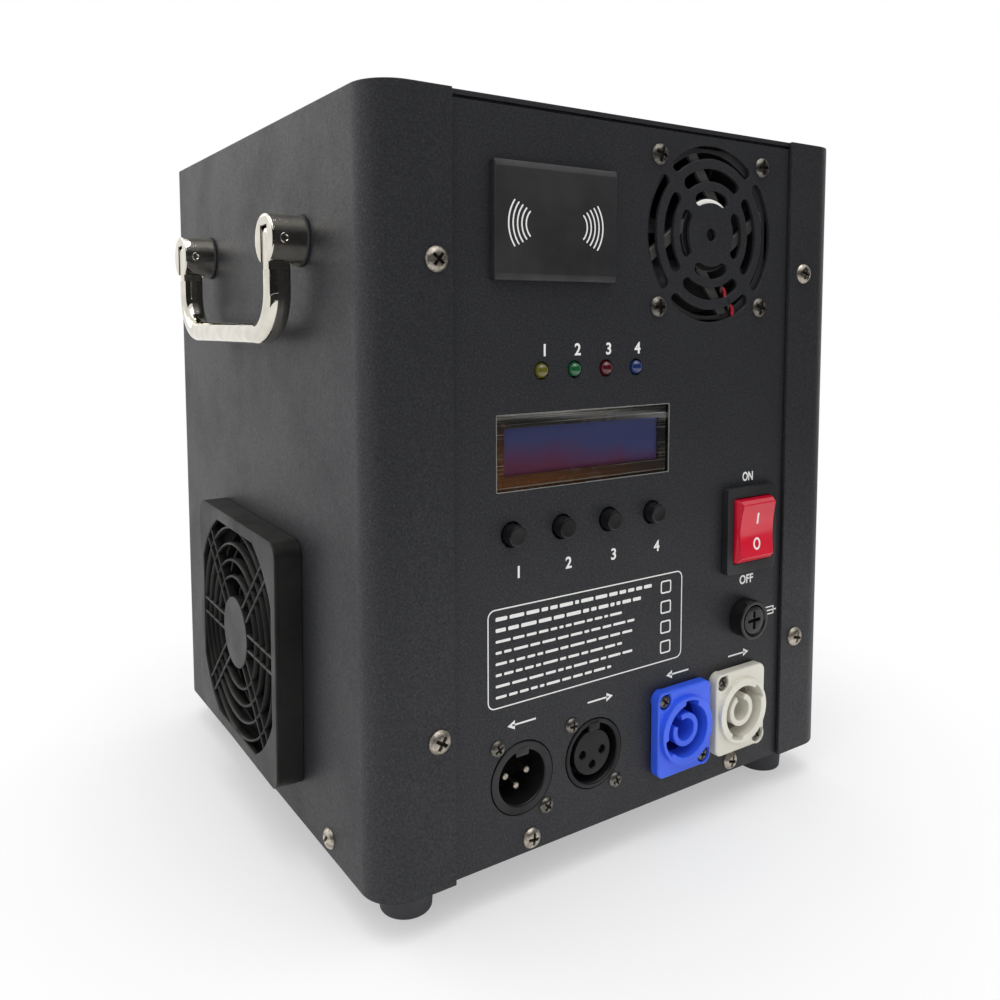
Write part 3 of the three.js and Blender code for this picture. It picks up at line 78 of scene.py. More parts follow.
# A socket's flange (width, height, corner), its screws from its middle, and where the screws of a
# mains socket lie
SOCKET_SIZE, SOCKET_SCREWS = (26, 31, 3), ((-9.5, 12), (9.5, -12))
POWER_FACE = -1.2
# The outlet's and the hopper's x, their common y, and the height of the case's top
OUTLET, HOPPER, DRIVE_Y = 68.0, 146.0, 112.0
TOP = SIZE[2]


def number(name, description, default, low, high, **more):
    """A number with its limits."""
    return bpy.props.FloatProperty(name=name, description=description, default=default,
                                   min=low, max=high, **more)


def paint(name, description, *default):
    """A linear colour."""
    return bpy.props.FloatVectorProperty(name=name, description=description, subtype="COLOR",
                                         size=3, default=default, min=0, max=1)


class MachineSizes(bpy.types.PropertyGroup):
    """Small sizes of the trim that can be changed without touching the frame"""

    edge: number("Sheet edge", "Rounding of the cut sheet edges, in millimetres", 0.25, 0.05, 0.6)
    screw_radius: number(
        "Screw head radius", "Radius of the case screws, in millimetres", 3.75, 2.0, 5.0)
    lettering: number(
        "Lettering height", "Height of the numerals and words, in millimetres", 3.7, 2.0, 6.0)
    print_thickness: number(
        "Print thickness", "How far the white print stands up, in millimetres", 0.05, 0.02, 0.2)
    blade_twist: number("Blade twist", "Turn of a fan blade from front to back",
                        math.radians(38), 0.1, 1.2, subtype="ANGLE")


class MachineColours(bpy.types.PropertyGroup):
    """Main colours of the machine, linear"""

    case: paint("Case", "Powder coat of the case", 0.0262, 0.0268, 0.0305)
    inlet: paint("Power inlet", "Moulding of the power inlet", 0.038, 0.12, 0.86)
    outlet: paint("Power outlet", "Moulding of the power outlet", 0.74, 0.72, 0.63)
    rocker: paint("Rocker", "Rocker of the mains switch", 0.62, 0.007, 0.03)
    print_white: paint("Print", "White print on the front", 0.82, 0.82, 0.8)


# Shapes, each a pair (points, faces)


def circle(x, z, radius, count=48):
    """Points (x + r cos t, z + r sin t) for t round a full turn."""
    t = np.arange(count) * TAU / count
    return np.c_[x + radius * np.cos(t), z + radius * np.sin(t)]


def arc(x, z, radius, start, end, count):
    """Points of a circle's arc between two angles in degrees, both ends in it."""
    t = np.radians(np.linspace(start, end, count))
    return np.c_[x + radius * np.cos(t), z + radius * np.sin(t)]


def rounded(x, z, width, height, radius, count=5):
    """A rectangle with a quarter circle at each corner, about its centre."""
    radius = max(min(radius, width / 2 - 0.01, height / 2 - 0.01), 0.01)
    corners = [(1, 1), (-1, 1), (-1, -1), (1, -1)]
    return np.concatenate([
        arc(x + sx * (width / 2 - radius), z + sz * (height / 2 - radius), radius,
            90 * i, 90 * i + 90, count)
        for i, (sx, sz) in enumerate(corners)
    ])


def arc_slot(x, z, radius, width, middle, half, count=20):
    """A slot with round ends along a circle's arc."""
    cap = width / 2
    low, high = middle - half, middle + half
    ends = [arc(x, z, radius, a, a, 1)[0] for a in (low, high)]
    return np.concatenate([
        arc(x, z, radius + cap, low, high, count),
        arc(*ends[1], cap, high, high + 180, 10)[1:-1],
        arc(x, z, radius - cap, high, low, count),
        arc(*ends[0], cap, low + 180, low + 360, 10)[1:-1],
    ])


def soften(points, radius, steps=3):
    """Each inner corner P becomes the parabola (1-t)^2 A + 2t(1-t) P + t^2 B, with A and B on
    the sides beside it, a radius away or nearly half a side."""
    p = np.array(points, float)
    back, ahead = p[:-2] - p[1:-1], p[2:] - p[1:-1]
    la, lb = (np.linalg.norm(v, axis=1, keepdims=True) for v in (back, ahead))
    reach = np.minimum(radius, 0.45 * np.minimum(la, lb))
    a, b = p[1:-1] + back / la * reach, p[1:-1] + ahead / lb * reach
    t = np.linspace(0, 1, steps + 1)[None, :, None]
    bend = (1 - t) ** 2 * a[:, None] + 2 * t * (1 - t) * p[1:-1, None] + t**2 * b[:, None]
    return np.concatenate([p[:1], bend.reshape(-1, p.shape[1]), p[-1:]])


def grid(points, around=False, along=False):
    """Quads between neighbours of a (row, column) array of points. around joins the last column
    to the first, along the last row to the first."""
    rows, cols = points.shape[:2]
    index = np.arange(rows * cols).reshape(rows, cols)
    if around:
        index = np.c_[index, index[:, :1]]
    if along:
        index = np.r_[index, index[:1]]
    quads = [index[:-1, :-1], index[1:, :-1], index[1:, 1:], index[:-1, 1:]]
    return points.reshape(-1, 3), np.stack(quads, -1).reshape(-1, 4)


def axes(a, b, h, axis):
    """Puts two across values and one along value on the axes, for pieces along x, y or z."""
    a, b, h = np.broadcast_arrays(a, b, h)
    return np.stack({"x": (h, a, b), "y": (a, h, b), "z": (a, b, h)}[axis], -1)


def lathe(profile, centre, axis, steps=64):
    """Point (r, h) of a profile goes to centre + (r cos t, r sin t) across the axis and h along
    it, for t round a full turn."""
    r, h = np.array(profile, float).T[:, :, None]
    t = np.arange(steps) * TAU / steps
    return grid(axes(r * np.cos(t), r * np.sin(t), h, axis) + centre, around=True)


def loft(rings, axis="y"):
    """Skin through closed rings [(outline, height)], with a point in the middle of each end."""
    rows = [axes(*ring.T, h, axis) for ring, h in rings]
    ends = [np.repeat(r.mean(0, keepdims=True), len(r), 0) for r in (rows[0], rows[-1])]
    return grid(np.stack([ends[0], *rows, ends[1]]), around=True)


def pad(x, z, width, height, radius, profile, axis="y"):
    """A rounded rectangle whose sides move in by the profile's inset at each height."""
    return loft([
        (rounded(x, z, width - 2 * inset, height - 2 * inset, max(radius - inset, 0.05)), h)
        for inset, h in profile
    ], axis)


def slab(outline, holes, low, high, axis, edge, steps=2):
    """A flat outline with holes carried from one plane to another, its edges rounded by a
    quarter circle, or cut at 45 degrees with no steps."""
    curve = bpy.data.curves.new("outline", "CURVE")
    curve.dimensions, curve.fill_mode = "2D", "BOTH"
    curve.extrude, curve.bevel_depth = (high - low) / 2 - edge, edge
    curve.bevel_resolution, curve.offset = steps, -edge
    for ring in [outline, *holes]:
        line = curve.splines.new("POLY")
        line.points.add(len(ring) - 1)
        line.points.foreach_set("co", np.c_[ring, np.zeros(len(ring)), np.ones(len(ring))].ravel())
        line.use_cyclic_u = True
    return from_curve(curve, (low + high) / 2, axis)


def from_curve(curve, middle, axis="y"):
    """The mesh of a flat curve or text, laid across an axis with its middle at a height."""
    holder = bpy.data.objects.new("outline", curve)
    bpy.context.scene.collection.objects.link(holder)
    graph = bpy.context.evaluated_depsgraph_get()
    mesh = bpy.data.meshes.new_from_object(holder.evaluated_get(graph))
    mesh.calc_loop_triangles()
    points = np.empty(len(mesh.vertices) * 3)
    faces = np.empty(len(mesh.loop_triangles) * 3, np.int32)
    mesh.vertices.foreach_get("co", points)
    mesh.loop_triangles.foreach_get("vertices", faces)
    a, b, h = points.reshape(-1, 3).T
    bpy.data.objects.remove(holder)
    bpy.data.meshes.remove(mesh)
    if axis == "y":
        h = -h
    return axes(a, b, h + middle, axis), faces.reshape(-1, 3)


def sweep(path, section, side):
    """A closed section (a, b) carried along a path: a lies along the fixed side direction, b
    across it and the path. The ends are closed with a point in their middle."""
    path, section = np.array(path, float), np.array(section, float)
    tangent = np.gradient(path, axis=0)
    tangent /= np.linalg.norm(tangent, axis=1, keepdims=True)
    across = np.cross(side, tangent)
    across /= np.linalg.norm(across, axis=1, keepdims=True)
    out = np.cross(tangent, across)
    a, b = section[:, :1], section[:, 1:]
    rows = path[:, None] + a * out[:, None] + b * across[:, None]
    ends = [np.repeat(path[i : i + 1], len(section), 0)[None] for i in (0, len(path) - 1)]
    return grid(np.concatenate([ends[0], rows, ends[1]]), around=True)


def turned(shape, degrees, axis):
    """A shape turned about an axis."""
    turn = np.array(Matrix.Rotation(math.radians(degrees), 3, axis.upper()))
    return shape[0] @ turn.T, shape[1]


def moved(shape, x=0, y=0, z=0):
    """A shape shifted by a distance."""
    return shape[0] + (x, y, z), shape[1]


def flipped(shape, plane, axis):
    """A shape mirrored in a plane across x, y or z. Its faces are turned back when it is made."""
    points = shape[0].copy()
    points[:, axis] = 2 * plane - points[:, axis]
    return points, shape[1]


def screw(x, z, y, radius, direction=(0, -1, 0), turn=20, finish="nickel", reach=0.62,
          wide=0.15):
    """A pan head: height r (0.1 + 0.42 (1 - (d / r)^4)) over distance d, less a recess of two
    crossed bars, reach long and wide across in shares of r, whose sides fall off smoothly."""
    d = np.r_[0, 0.04, np.linspace(0.1, 0.7, 19), 0.78, 0.86, 0.93, 0.98, 1, 1][:, None]
    t = np.arange(72) * TAU / 72
    a, b = d * np.cos(t), d * np.sin(t)
    rise = 0.42 * (1 - np.clip(d, 0, 1) ** 4) + 0.10
    cos, sin = math.cos(math.radians(turn)), math.sin(math.radians(turn))
    u, v = a * cos + b * sin, b * cos - a * sin
    bars = [
        np.clip((reach - np.abs(p)) / 0.1, 0, 1) * np.clip((wide - np.abs(q)) / 0.05, 0, 1)
        for p, q in ((u, v), (v, u))
    ]
    rise = rise - 0.34 * np.maximum(*bars) * (1 - 0.4 * d)
    rise[-1] = -0.02
    n = np.array(direction, float)
    side = np.cross(n, (0, 0, 1)) if abs(n[2]) < 0.5 else np.array((1.0, 0, 0))
    up = np.cross(side, n)
    points = (a[..., None] * side + b[..., None] * up + rise[..., None] * n) * radius + (x, y, z)
    points, faces = grid(points, around=True)
    # The recess's faces take the near-black recess finish: painted shade.
    sunk = (np.maximum(*bars).ravel()[faces] > 0.3).all(1)
    return [((points, faces[~sunk]), finish), ((points, faces[sunk]), "recess")]


def rod(x, z, low, high, radius, steps):
    """A round bar between two depths with softened ends."""
    profile = soften([(0, low), (radius, low), (radius, high), (0, high)], 0.3)
    return lathe(profile, (x, 0, z), "y", steps)


def tab(x, z, low, high):
    """A soldering tab that stands back from the front."""
    return pad(x, z, 0.9, 6.3, 0.2, [(0.2, low), (0.2, high - 0.4), (0.4, high)])


def label(text, x, z, height, thickness, width=1.0):
    """Text laid on the front, its middle at a place."""
    curve = bpy.data.curves.new("text", "FONT")
    curve.body, curve.align_x, curve.align_y = text, "CENTER", "CENTER"
    curve.size, curve.extrude, curve.offset = height / 0.7, thickness / 2, 0.12
    shape = from_curve(curve, PANEL - thickness / 2)
    shape[0][:, 0] *= width
    return moved(shape, x=x, z=z)


def piece(name, shapes, body="machine", cad=None, bevel=0.0, flat=False, sharp=38):
    """One object from (shape, finish) pairs: doubles merged, faces outwards, its place in its
    mesh. It rides on a body and stands for a CAD node, or is only made where there is no body."""
    finishes = list(dict.fromkeys(f for _, f in shapes))
    starts = np.cumsum([0] + [len(s[0]) for s, _ in shapes])
    loops = np.concatenate([(s[1] + o).ravel() for (s, _), o in zip(shapes, starts)])
    sides = np.concatenate([np.full(len(s[1]), s[1].shape[1]) for s, _ in shapes])
    kinds = np.concatenate([np.full(len(s[1]), finishes.index(f)) for s, f in shapes])
    points = (np.concatenate([s[0] for s, _ in shapes]) + CORNER) / 1000
    mesh = bpy.data.meshes.new(name)
    mesh.vertices.add(len(points))
    mesh.vertices.foreach_set("co", points.astype(np.float32).ravel())
    mesh.loops.add(len(loops))
    mesh.loops.foreach_set("vertex_index", loops.astype(np.int32))
    mesh.polygons.add(len(sides))
    mesh.polygons.foreach_set("loop_start", np.r_[0, np.cumsum(sides)[:-1]].astype(np.int32))
    mesh.polygons.foreach_set("material_index", kinds.astype(np.int32))
    mesh.update(calc_edges=True)
    mesh.validate()
    bm = bmesh.new()
    bm.from_mesh(mesh)
    bmesh.ops.remove_doubles(bm, verts=bm.verts, dist=2e-6)
    bmesh.ops.recalc_face_normals(bm, faces=bm.faces)
    bm.to_mesh(mesh)
    bm.free()
    mesh.polygons.foreach_set("use_smooth", np.ones(len(mesh.polygons), bool))
    mesh.set_sharp_from_angle(angle=math.radians(sharp))
    made = bpy.data.objects.new(name, mesh)
    bpy.context.scene.collection.objects.link(made)
    for finish in finishes:
        mesh.materials.append(material(finish))
    if bevel:
        rounding = made.modifiers.new("edges", "BEVEL")
        rounding.width, rounding.segments = bevel / 1000, 2
        rounding.limit_method, rounding.angle_limit = "ANGLE", math.radians(50)
    if flat:
        made.modifiers.new("flats", "WEIGHTED_NORMAL").keep_sharp = True
    if body is None:
        return made
    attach(made, body)
    if cad:
        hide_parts(cad)
    return made


# Finishes


class Finish:
    """One finish. The colour is linear, or the name of one of MachineColours. The grain has a
    size per metre and a depth in millimetres. vary says how far it shades the colour, towards
    second where that is given, and third paints a reflection where its sheen mask is high."""

    def __init__(self, slot, colour, rough, size, depth, vary, marks, dust, grain="moulded",
                 metal=0, level=0.5, coat=0, glow=0, glass=0, second=(), third=()):
        self.slot, self.colour, self.rough, self.grain = slot, colour, rough, grain
        self.size, self.depth, self.vary, self.marks, self.dust = size, depth, vary, marks, dust
        self.metal, self.level, self.coat, self.glow, self.glass = metal, level, coat, glow, glass
        self.second, self.third = second, third


LENSES = {
    "yellow": (0.115, 0.1, 0.012), "green": (0.006, 0.085, 0.026),
    "red": (0.075, 0.003, 0.008), "blue": (0.009, 0.025, 0.115),
}
FINISHES = {
    "black_coat": Finish("black_coat", "case", 0.47, 1500, 0.12, 0.35, 0.1, 0.03, grain="powder",
        level=0.31),
    "chrome": Finish("chrome", (0.7, 0.665, 0.585), 0.05, 170, 0.1, 0.1, 0.1, 0, grain="plate",
        metal=1),
    "nickel": Finish("steel", (0.52, 0.47, 0.4), 0.42, 900, 0.08, 0.35, 0.25, 0.02, grain="plate",
        metal=1),
    "steel": Finish("steel", (0.5, 0.49, 0.47), 0.32, 900, 0.02, 0.2, 0.2, 0.02, grain="brushed",
        metal=1),
    "tube_steel": Finish("steel", (0.52, 0.49, 0.46), 0.3, 700, 0.02, 0.35, 0.3, 0.02,
        grain="brushed", metal=1),
    "rubber": Finish("rubber", (0.052, 0.053, 0.06), 0.72, 1100, 0.05, 0.3, 0.1, 0.12, level=0.35),
    "guard_plastic": Finish("black_plastic", (0.0125, 0.012, 0.0115), 0.44, 1500, 0.03, 0.3, 0.14,
        0.08, level=0.24),
    "black_plastic": Finish("black_plastic", (0.0085, 0.0087, 0.0095), 0.38, 1900, 0.02, 0.25, 0.1,
        0.02, level=0.35),
    "gloss_black": Finish("black_plastic", (0.008, 0.008, 0.009), 0.2, 900, 0.01, 0.2, 0.12, 0.03),
    "switch_black": Finish("black_plastic", (0.017, 0.018, 0.02), 0.4, 1500, 0.02, 0.2, 0.12, 0.03,
        level=0.4),
    "cover_plastic": Finish("black_plastic", (0.0235, 0.024, 0.0255), 0.46, 1700, 0.025, 0.25, 0.12,
        0.04),
    "fan_plastic": Finish("black_plastic", (0.022, 0.022, 0.023), 0.4, 1200, 0.02, 0.3, 0.1, 0.2),
    # A lighter copy of the fan's plastic for the front fan's struts: painted light, where light
    # catches them.
    "strut_plastic": Finish("black_plastic", (0.05, 0.049, 0.047), 0.5, 1200, 0.02, 0.3, 0.1, 0.2),
    "button_face": Finish("black_plastic", (0.007, 0.007, 0.0075), 0.48, 2300, 0.02, 0.3, 0.15,
        0.02, level=0.35),
    "red_plastic": Finish("red_plastic", "rocker", 0.16, 800, 0.008, 0.2, 0.12, 0, level=0.6),
    "blue_plastic": Finish("blue_plastic", "inlet", 0.36, 1500, 0.015, 0.12, 0.12, 0),
    "ivory_plastic": Finish("ivory_plastic", "outlet", 0.4, 1500, 0.015, 0.08, 0.12, 0),
    # Darker copies of the inlet's and outlet's mouldings for the inside of their cups: painted
    # shade for the depth of the cup.
    "deep_in": Finish("blue_plastic", (0.01, 0.03, 0.26), 0.4, 1500, 0.015, 0.12, 0.12, 0,
        level=0.3),
    "deep_out": Finish("ivory_plastic", (0.34, 0.32, 0.27), 0.45, 1500, 0.015, 0.08, 0.12, 0,
        level=0.3),
    **{f"{name}_lens": Finish(f"{name}_lens", colour, 0.12, 500, 0.004, 0.25, 0.05, 0, coat=0.8,
                              glow=0.02) for name, colour in LENSES.items()},
    "pane": Finish("clear_pane", (0.93, 0.94, 0.97), 0.03, 60, 0.002, 0.03, 0.05, 0, level=0.25,
        glass=1),
    "fuse_glass": Finish("fuse_glass", (0.9, 0.93, 0.92), 0.02, 80, 0.002, 0.03, 0.04, 0, glass=1),
    # The rim's colours are painted reflections: second a warm one at its left and foot, third
    # bright streaks along it.
    "display_rim": Finish("black_plastic", (0.06, 0.054, 0.044), 0.2, 420, 0.02, 0, 0.3, 0,
        grain="rim", second=(0.5, 0.17, 0.03), third=(0.95, 0.85, 0.62)),
    # The glass colour is raised above its own to make up for the light the pane holds back: painted
    # light. second is a warm tint from the lower left.
    "display_glass": Finish("clear_pane", (0.19, 0.215, 0.5), 0.09, 60, 0.001, 0, 0.2, 0,
        grain="display", level=0.2, second=(0.4, 0.12, 0.22)),
    "white_print": Finish("ivory_plastic", "print_white", 0.5, 2600, 0.012, 0.14, 0.08, 0,
        grain="powder"),
    "ghost_print": Finish("black_coat", (0.026, 0.026, 0.028), 0.55, 1500, 0.03, 0.3, 0.1, 0.05,
        grain="powder"),
    # The sticker glows a little though it is no lamp: painted light.
    "sticker": Finish("ivory_plastic", (0.86, 0.85, 0.8), 0.45, 1500, 0.01, 0.05, 0.1, 0, glow=0.2),
    # An opaque grey band for the clear pane's edge: painted light where the edge catches it.
    "pane_edge": Finish("clear_pane", (0.2, 0.2, 0.19), 0.25, 900, 0.01, 0.3, 0.1, 0),
    "red_wire": Finish("red_plastic", (0.36, 0.004, 0.02), 0.35, 900, 0.01, 0.2, 0.1, 0.05),
    "black_wire": Finish("black_plastic", (0.015, 0.015, 0.017), 0.4, 900, 0.01, 0.2, 0.1, 0.05),
    "flag_cloth": Finish("", (0.02, 0.02, 0.022), 0.95, 40, 0.1, 0.4, 0, 0, level=0.1),
    # A near-black copy of the steel for the screws' cross recesses and the signal socket's pin
    # holes: painted shade.
    "recess": Finish("steel", (0.02, 0.017, 0.014), 0.6, 900, 0.03, 0.3, 0.2, 0, grain="plate",
        metal=0.6),
    "dark_nickel": Finish("steel", (0.22, 0.205, 0.18), 0.42, 900, 0.08, 0.4, 0.3, 0.03,
        grain="plate", metal=1),
    "brass": Finish("copper", (0.75, 0.6, 0.36), 0.2, 900, 0.01, 0.2, 0.15, 0, grain="brushed",
        metal=1),
    "red_rubber": Finish("red_rubber", (0.3, 0.035, 0.025), 0.7, 900, 0.04, 0.3, 0.1, 0.08,
        level=0.35),
    "ceramic": Finish("ceramic", (0.72, 0.68, 0.6), 0.75, 700, 0.06, 0.25, 0.2, 0, grain="powder"),
    "copper": Finish("copper", (0.72, 0.33, 0.16), 0.26, 700, 0.02, 0.4, 0.25, 0, grain="brushed",
        metal=1),
    "aluminium": Finish("aluminium", (0.58, 0.58, 0.59), 0.4, 900, 0.03, 0.25, 0.2, 0.04,
        grain="brushed", metal=1),
    "board": Finish("board_green", (0.012, 0.085, 0.045), 0.38, 300, 0.05, 0.8, 0.1, 0.03,
        grain="board"),
}


class Nodes:
    """Adds nodes to a tree and joins them as they are made."""

    def __init__(self, tree):
        self.tree = tree
        tree.nodes.clear()

    def add(self, kind, values=None, **settings):
        """A node with its settings, and its sockets set to values or joined to other sockets."""
        made = self.tree.nodes.new(kind)
        for key, value in settings.items():
            setattr(made, key, value)
        for key, value in (values or {}).items():
            if isinstance(value, bpy.types.NodeSocket):
                self.tree.links.new(value, made.inputs[key])
            else:
                made.inputs[key].default_value = value
        return made

    def maths(self, kind, a, b, c=None, clamp=False):
        """A Math node's result."""
        values = {0: a, 1: b} if c is None else {0: a, 1: b, 2: c}
        return self.add("ShaderNodeMath", values, operation=kind, use_clamp=clamp).outputs[0]

    def times(self, a, b):
        """A product."""
        return self.maths("MULTIPLY", a, b)

    def seen(self):
        """1 for rays from the camera, through glass and off gloss, else 0."""
        rays = self.add("ShaderNodeLightPath").outputs
        seen = self.maths("MAXIMUM", rays["Is Camera Ray"], rays["Is Transmission Ray"])
        return self.maths("MAXIMUM", seen, rays["Is Glossy Ray"])

    def blend(self, factor, a, b):
        """A mix of two colours."""
        return self.add("ShaderNodeMix", {0: factor, 6: a, 7: b}, data_type="RGBA").outputs[2]

    def noise(self, where, scale, detail, rough=0.5):
        """Noise from 0 to 1."""
        values = {"Vector": where, "Scale": scale, "Detail": detail, "Roughness": rough}
        return self.add("ShaderNodeTexNoise", values).outputs[0]

    def cells(self, where, scale, **settings):
        """The outputs Distance, to the nearest cell point, and Color, that cell's colour."""
        values = {"Vector": where, "Scale": scale}
        return self.add("ShaderNodeTexVoronoi", values, **settings).outputs

    def scaled(self, where, x, y, z):
        """Coordinates stretched along the axes."""
        return self.add("ShaderNodeMapping", {0: where, 3: (x, y, z)}).outputs[0]

    def span(self, value, low, high, to_low=0.0, to_high=1.0):
        """A value read between two limits, held at the ends."""
        values = {0: value, 1: low, 2: high, 3: to_low, 4: to_high}
        return self.add("ShaderNodeMapRange", values).outputs[0]


def group(name, takes, gives, build):
    """A shader node group with named inputs and outputs, built once."""
    tree = bpy.data.node_groups.get(name)
    if tree:
        return tree
    tree = bpy.data.node_groups.new(name, "ShaderNodeTree")
    for title, kind, default in takes:
        socket = tree.interface.new_socket(title, in_out="INPUT", socket_type=kind)
        if default is not None:
            socket.default_value = default
    for title in gives:
        tree.interface.new_socket(title, in_out="OUTPUT", socket_type="NodeSocketFloat")
    n = Nodes(tree)
    start = list(n.add("NodeGroupInput").outputs)[: len(takes)]
    made = build(n, start)
    n.add("NodeGroupOutput", dict(zip(gives, made)))
    return tree


def powder(n, start):
    """Orange-peel of two noises, with fine light flecks where a cell point is near."""
    where, size = start
    fine = n.noise(where, size, 3.0, 0.65)
    broad = n.noise(where, n.times(size, 0.22), 2.0)
    near = n.cells(where, n.times(size, 0.55))["Distance"]
    fleck = n.span(near, 0.30, 0.12)
    height = n.maths("ADD", n.times(fine, 0.6), n.times(broad, 0.8))
    tone = n.span(fine, 0.3, 0.75, 0.1, 0.8)
    shade = n.maths("ADD", n.times(fleck, 0.35), tone, clamp=True)
    return height, shade, n.span(broad, 0.35, 0.65)


def moulded(n, start):
    """Spark-eroded texture: cell edges over fine noise."""
    where, size = start
    near = n.cells(where, size)["Distance"]
    fine = n.noise(where, n.times(size, 1.7), 2.0)
    broad = n.noise(where, n.times(size, 0.03), 3.0)
    return n.maths("ADD", near, n.times(fine, 0.5)), n.span(broad, 0.3, 0.7), fine


def brushed(n, start):
    """Lines that run up the piece: noise stretched along z."""
    where, size = start
    lines = n.noise(n.scaled(where, 1, 1, 0.03), size, 3.0, 0.7)
    wide = n.noise(n.scaled(where, 1, 1, 0.12), n.times(size, 0.1), 2.0)
    return lines, n.span(wide, 0.3, 0.7), lines


def plate(n, start):
    """Plated ripple: slow waves with a scatter of fine pits."""
    where, size = start
    wave = n.noise(where, size, 1.5, 0.45)
    near = n.cells(where, n.times(size, 5.0))["Distance"]
    pit = n.span(near, 0.16, 0.05)
    return n.maths("SUBTRACT", wave, n.times(pit, 0.25)), n.span(wave, 0.35, 0.7), pit


def lcd_place(n, where):
    """Where a point lies on the display: 0 to 1 from left to right and from bottom to top."""
    x, _, z = n.add("ShaderNodeSeparateXYZ", {0: where}).outputs
    left, low = (np.array((LCD[0] - 35.6, LCD[1] - 11.8)) + CORNER[[0, 2]]) / 1000
    return n.span(x, left, left + 0.0712), n.span(z, low, low + 0.0236)


def display(n, start):
    """Upright segments faintly seen, and a warm tint that rises from the lower left."""
    where, size = start
    across, up = lcd_place(n, where)
    column = n.noise(n.scaled(where, 22, 1, 0.4), size, 1.0)
    cloud = n.noise(where, size, 3.0, 0.6)
    level = n.maths("MULTIPLY_ADD", across, 0.36, n.maths("MULTIPLY_ADD", cloud, -0.5, up))
    return column, n.span(level, 0.12, 0.5, 1.0, 0.0), column


def rim(n, start):
    """Painted reflections: bright streaks drawn along the rim, and a warm reflection at its left
    and along its foot.
    """
    where, size = start
    across, up = lcd_place(n, where)
    streak = n.noise(n.scaled(where, 0.02, 1, 6), size, 3.0, 0.7)
    broken = n.noise(n.scaled(where, 0.12, 1, 1), size, 2.0)
    foot = n.times(n.span(up, 0.1, 0.35, 1.0, 0.0), n.span(across, 0.25, 0.9, 1.0, 0.12))
    side = n.times(n.span(across, 0.03, 0.09, 1.0, 0.0), n.span(up, 0.2, 0.9, 1.0, 0.1))
    warm = n.times(n.maths("MAXIMUM", foot, side), n.span(streak, 0.3, 0.6, 0.4, 1.0))
    line = n.times(n.span(streak, 0.57, 0.63), n.span(broken, 0.35, 0.6, 0.25, 1.0))
    return streak, warm, line


def board(n, start):
    """Tracks: narrow bands between square-sided cells, which differ in tone."""
    where, size = start
    step = n.cells(where, size, distance="CHEBYCHEV")
    track = n.span(step["Distance"], 0.42, 0.5)
    grey = n.add("ShaderNodeRGBToBW", {0: step["Color"]}).outputs[0]
    tone = n.span(grey, 0.2, 0.9, 0.4, 1.0)
    return track, n.maths("MULTIPLY_ADD", track, -0.5, tone, clamp=True), grey


def smudges(n, start):
    """Handling marks: soft patches broken by a few thin scratches."""
    where, amount = start
    patch = n.span(n.noise(where, 38.0, 4.0, 0.6), 0.42, 0.68)
    line = n.noise(n.scaled(where, 9, 9, 0.6), 90.0, 1.0)
    scratch = n.span(line, 0.70, 0.74)
    both = n.maths("ADD", patch, n.times(scratch, 0.6))
    return (n.times(both, amount),)


def settled_dust(n, start):
    """Dust lies where the surface faces up, in patches, and a little everywhere."""
    where, amount = start
    normal = n.add("ShaderNodeNewGeometry").outputs["Normal"]
    up = n.add("ShaderNodeSeparateXYZ", {0: normal}).outputs[2]
    patch = n.span(n.noise(where, 160.0, 5.0, 0.7), 0.35, 0.8)
    lying = n.times(n.span(up, 0.2, 1.0, 0.12, 1.0), patch)
    return (n.times(lying, amount),)


GRAINS = {
    "powder": ("Powder grain", powder), "moulded": ("Moulded grain", moulded),
    "brushed": ("Brushed lines", brushed), "plate": ("Plated ripple", plate),
    "display": ("Display segments", display), "board": ("Board tracks", board),
    "rim": ("Rim streaks", rim),
}


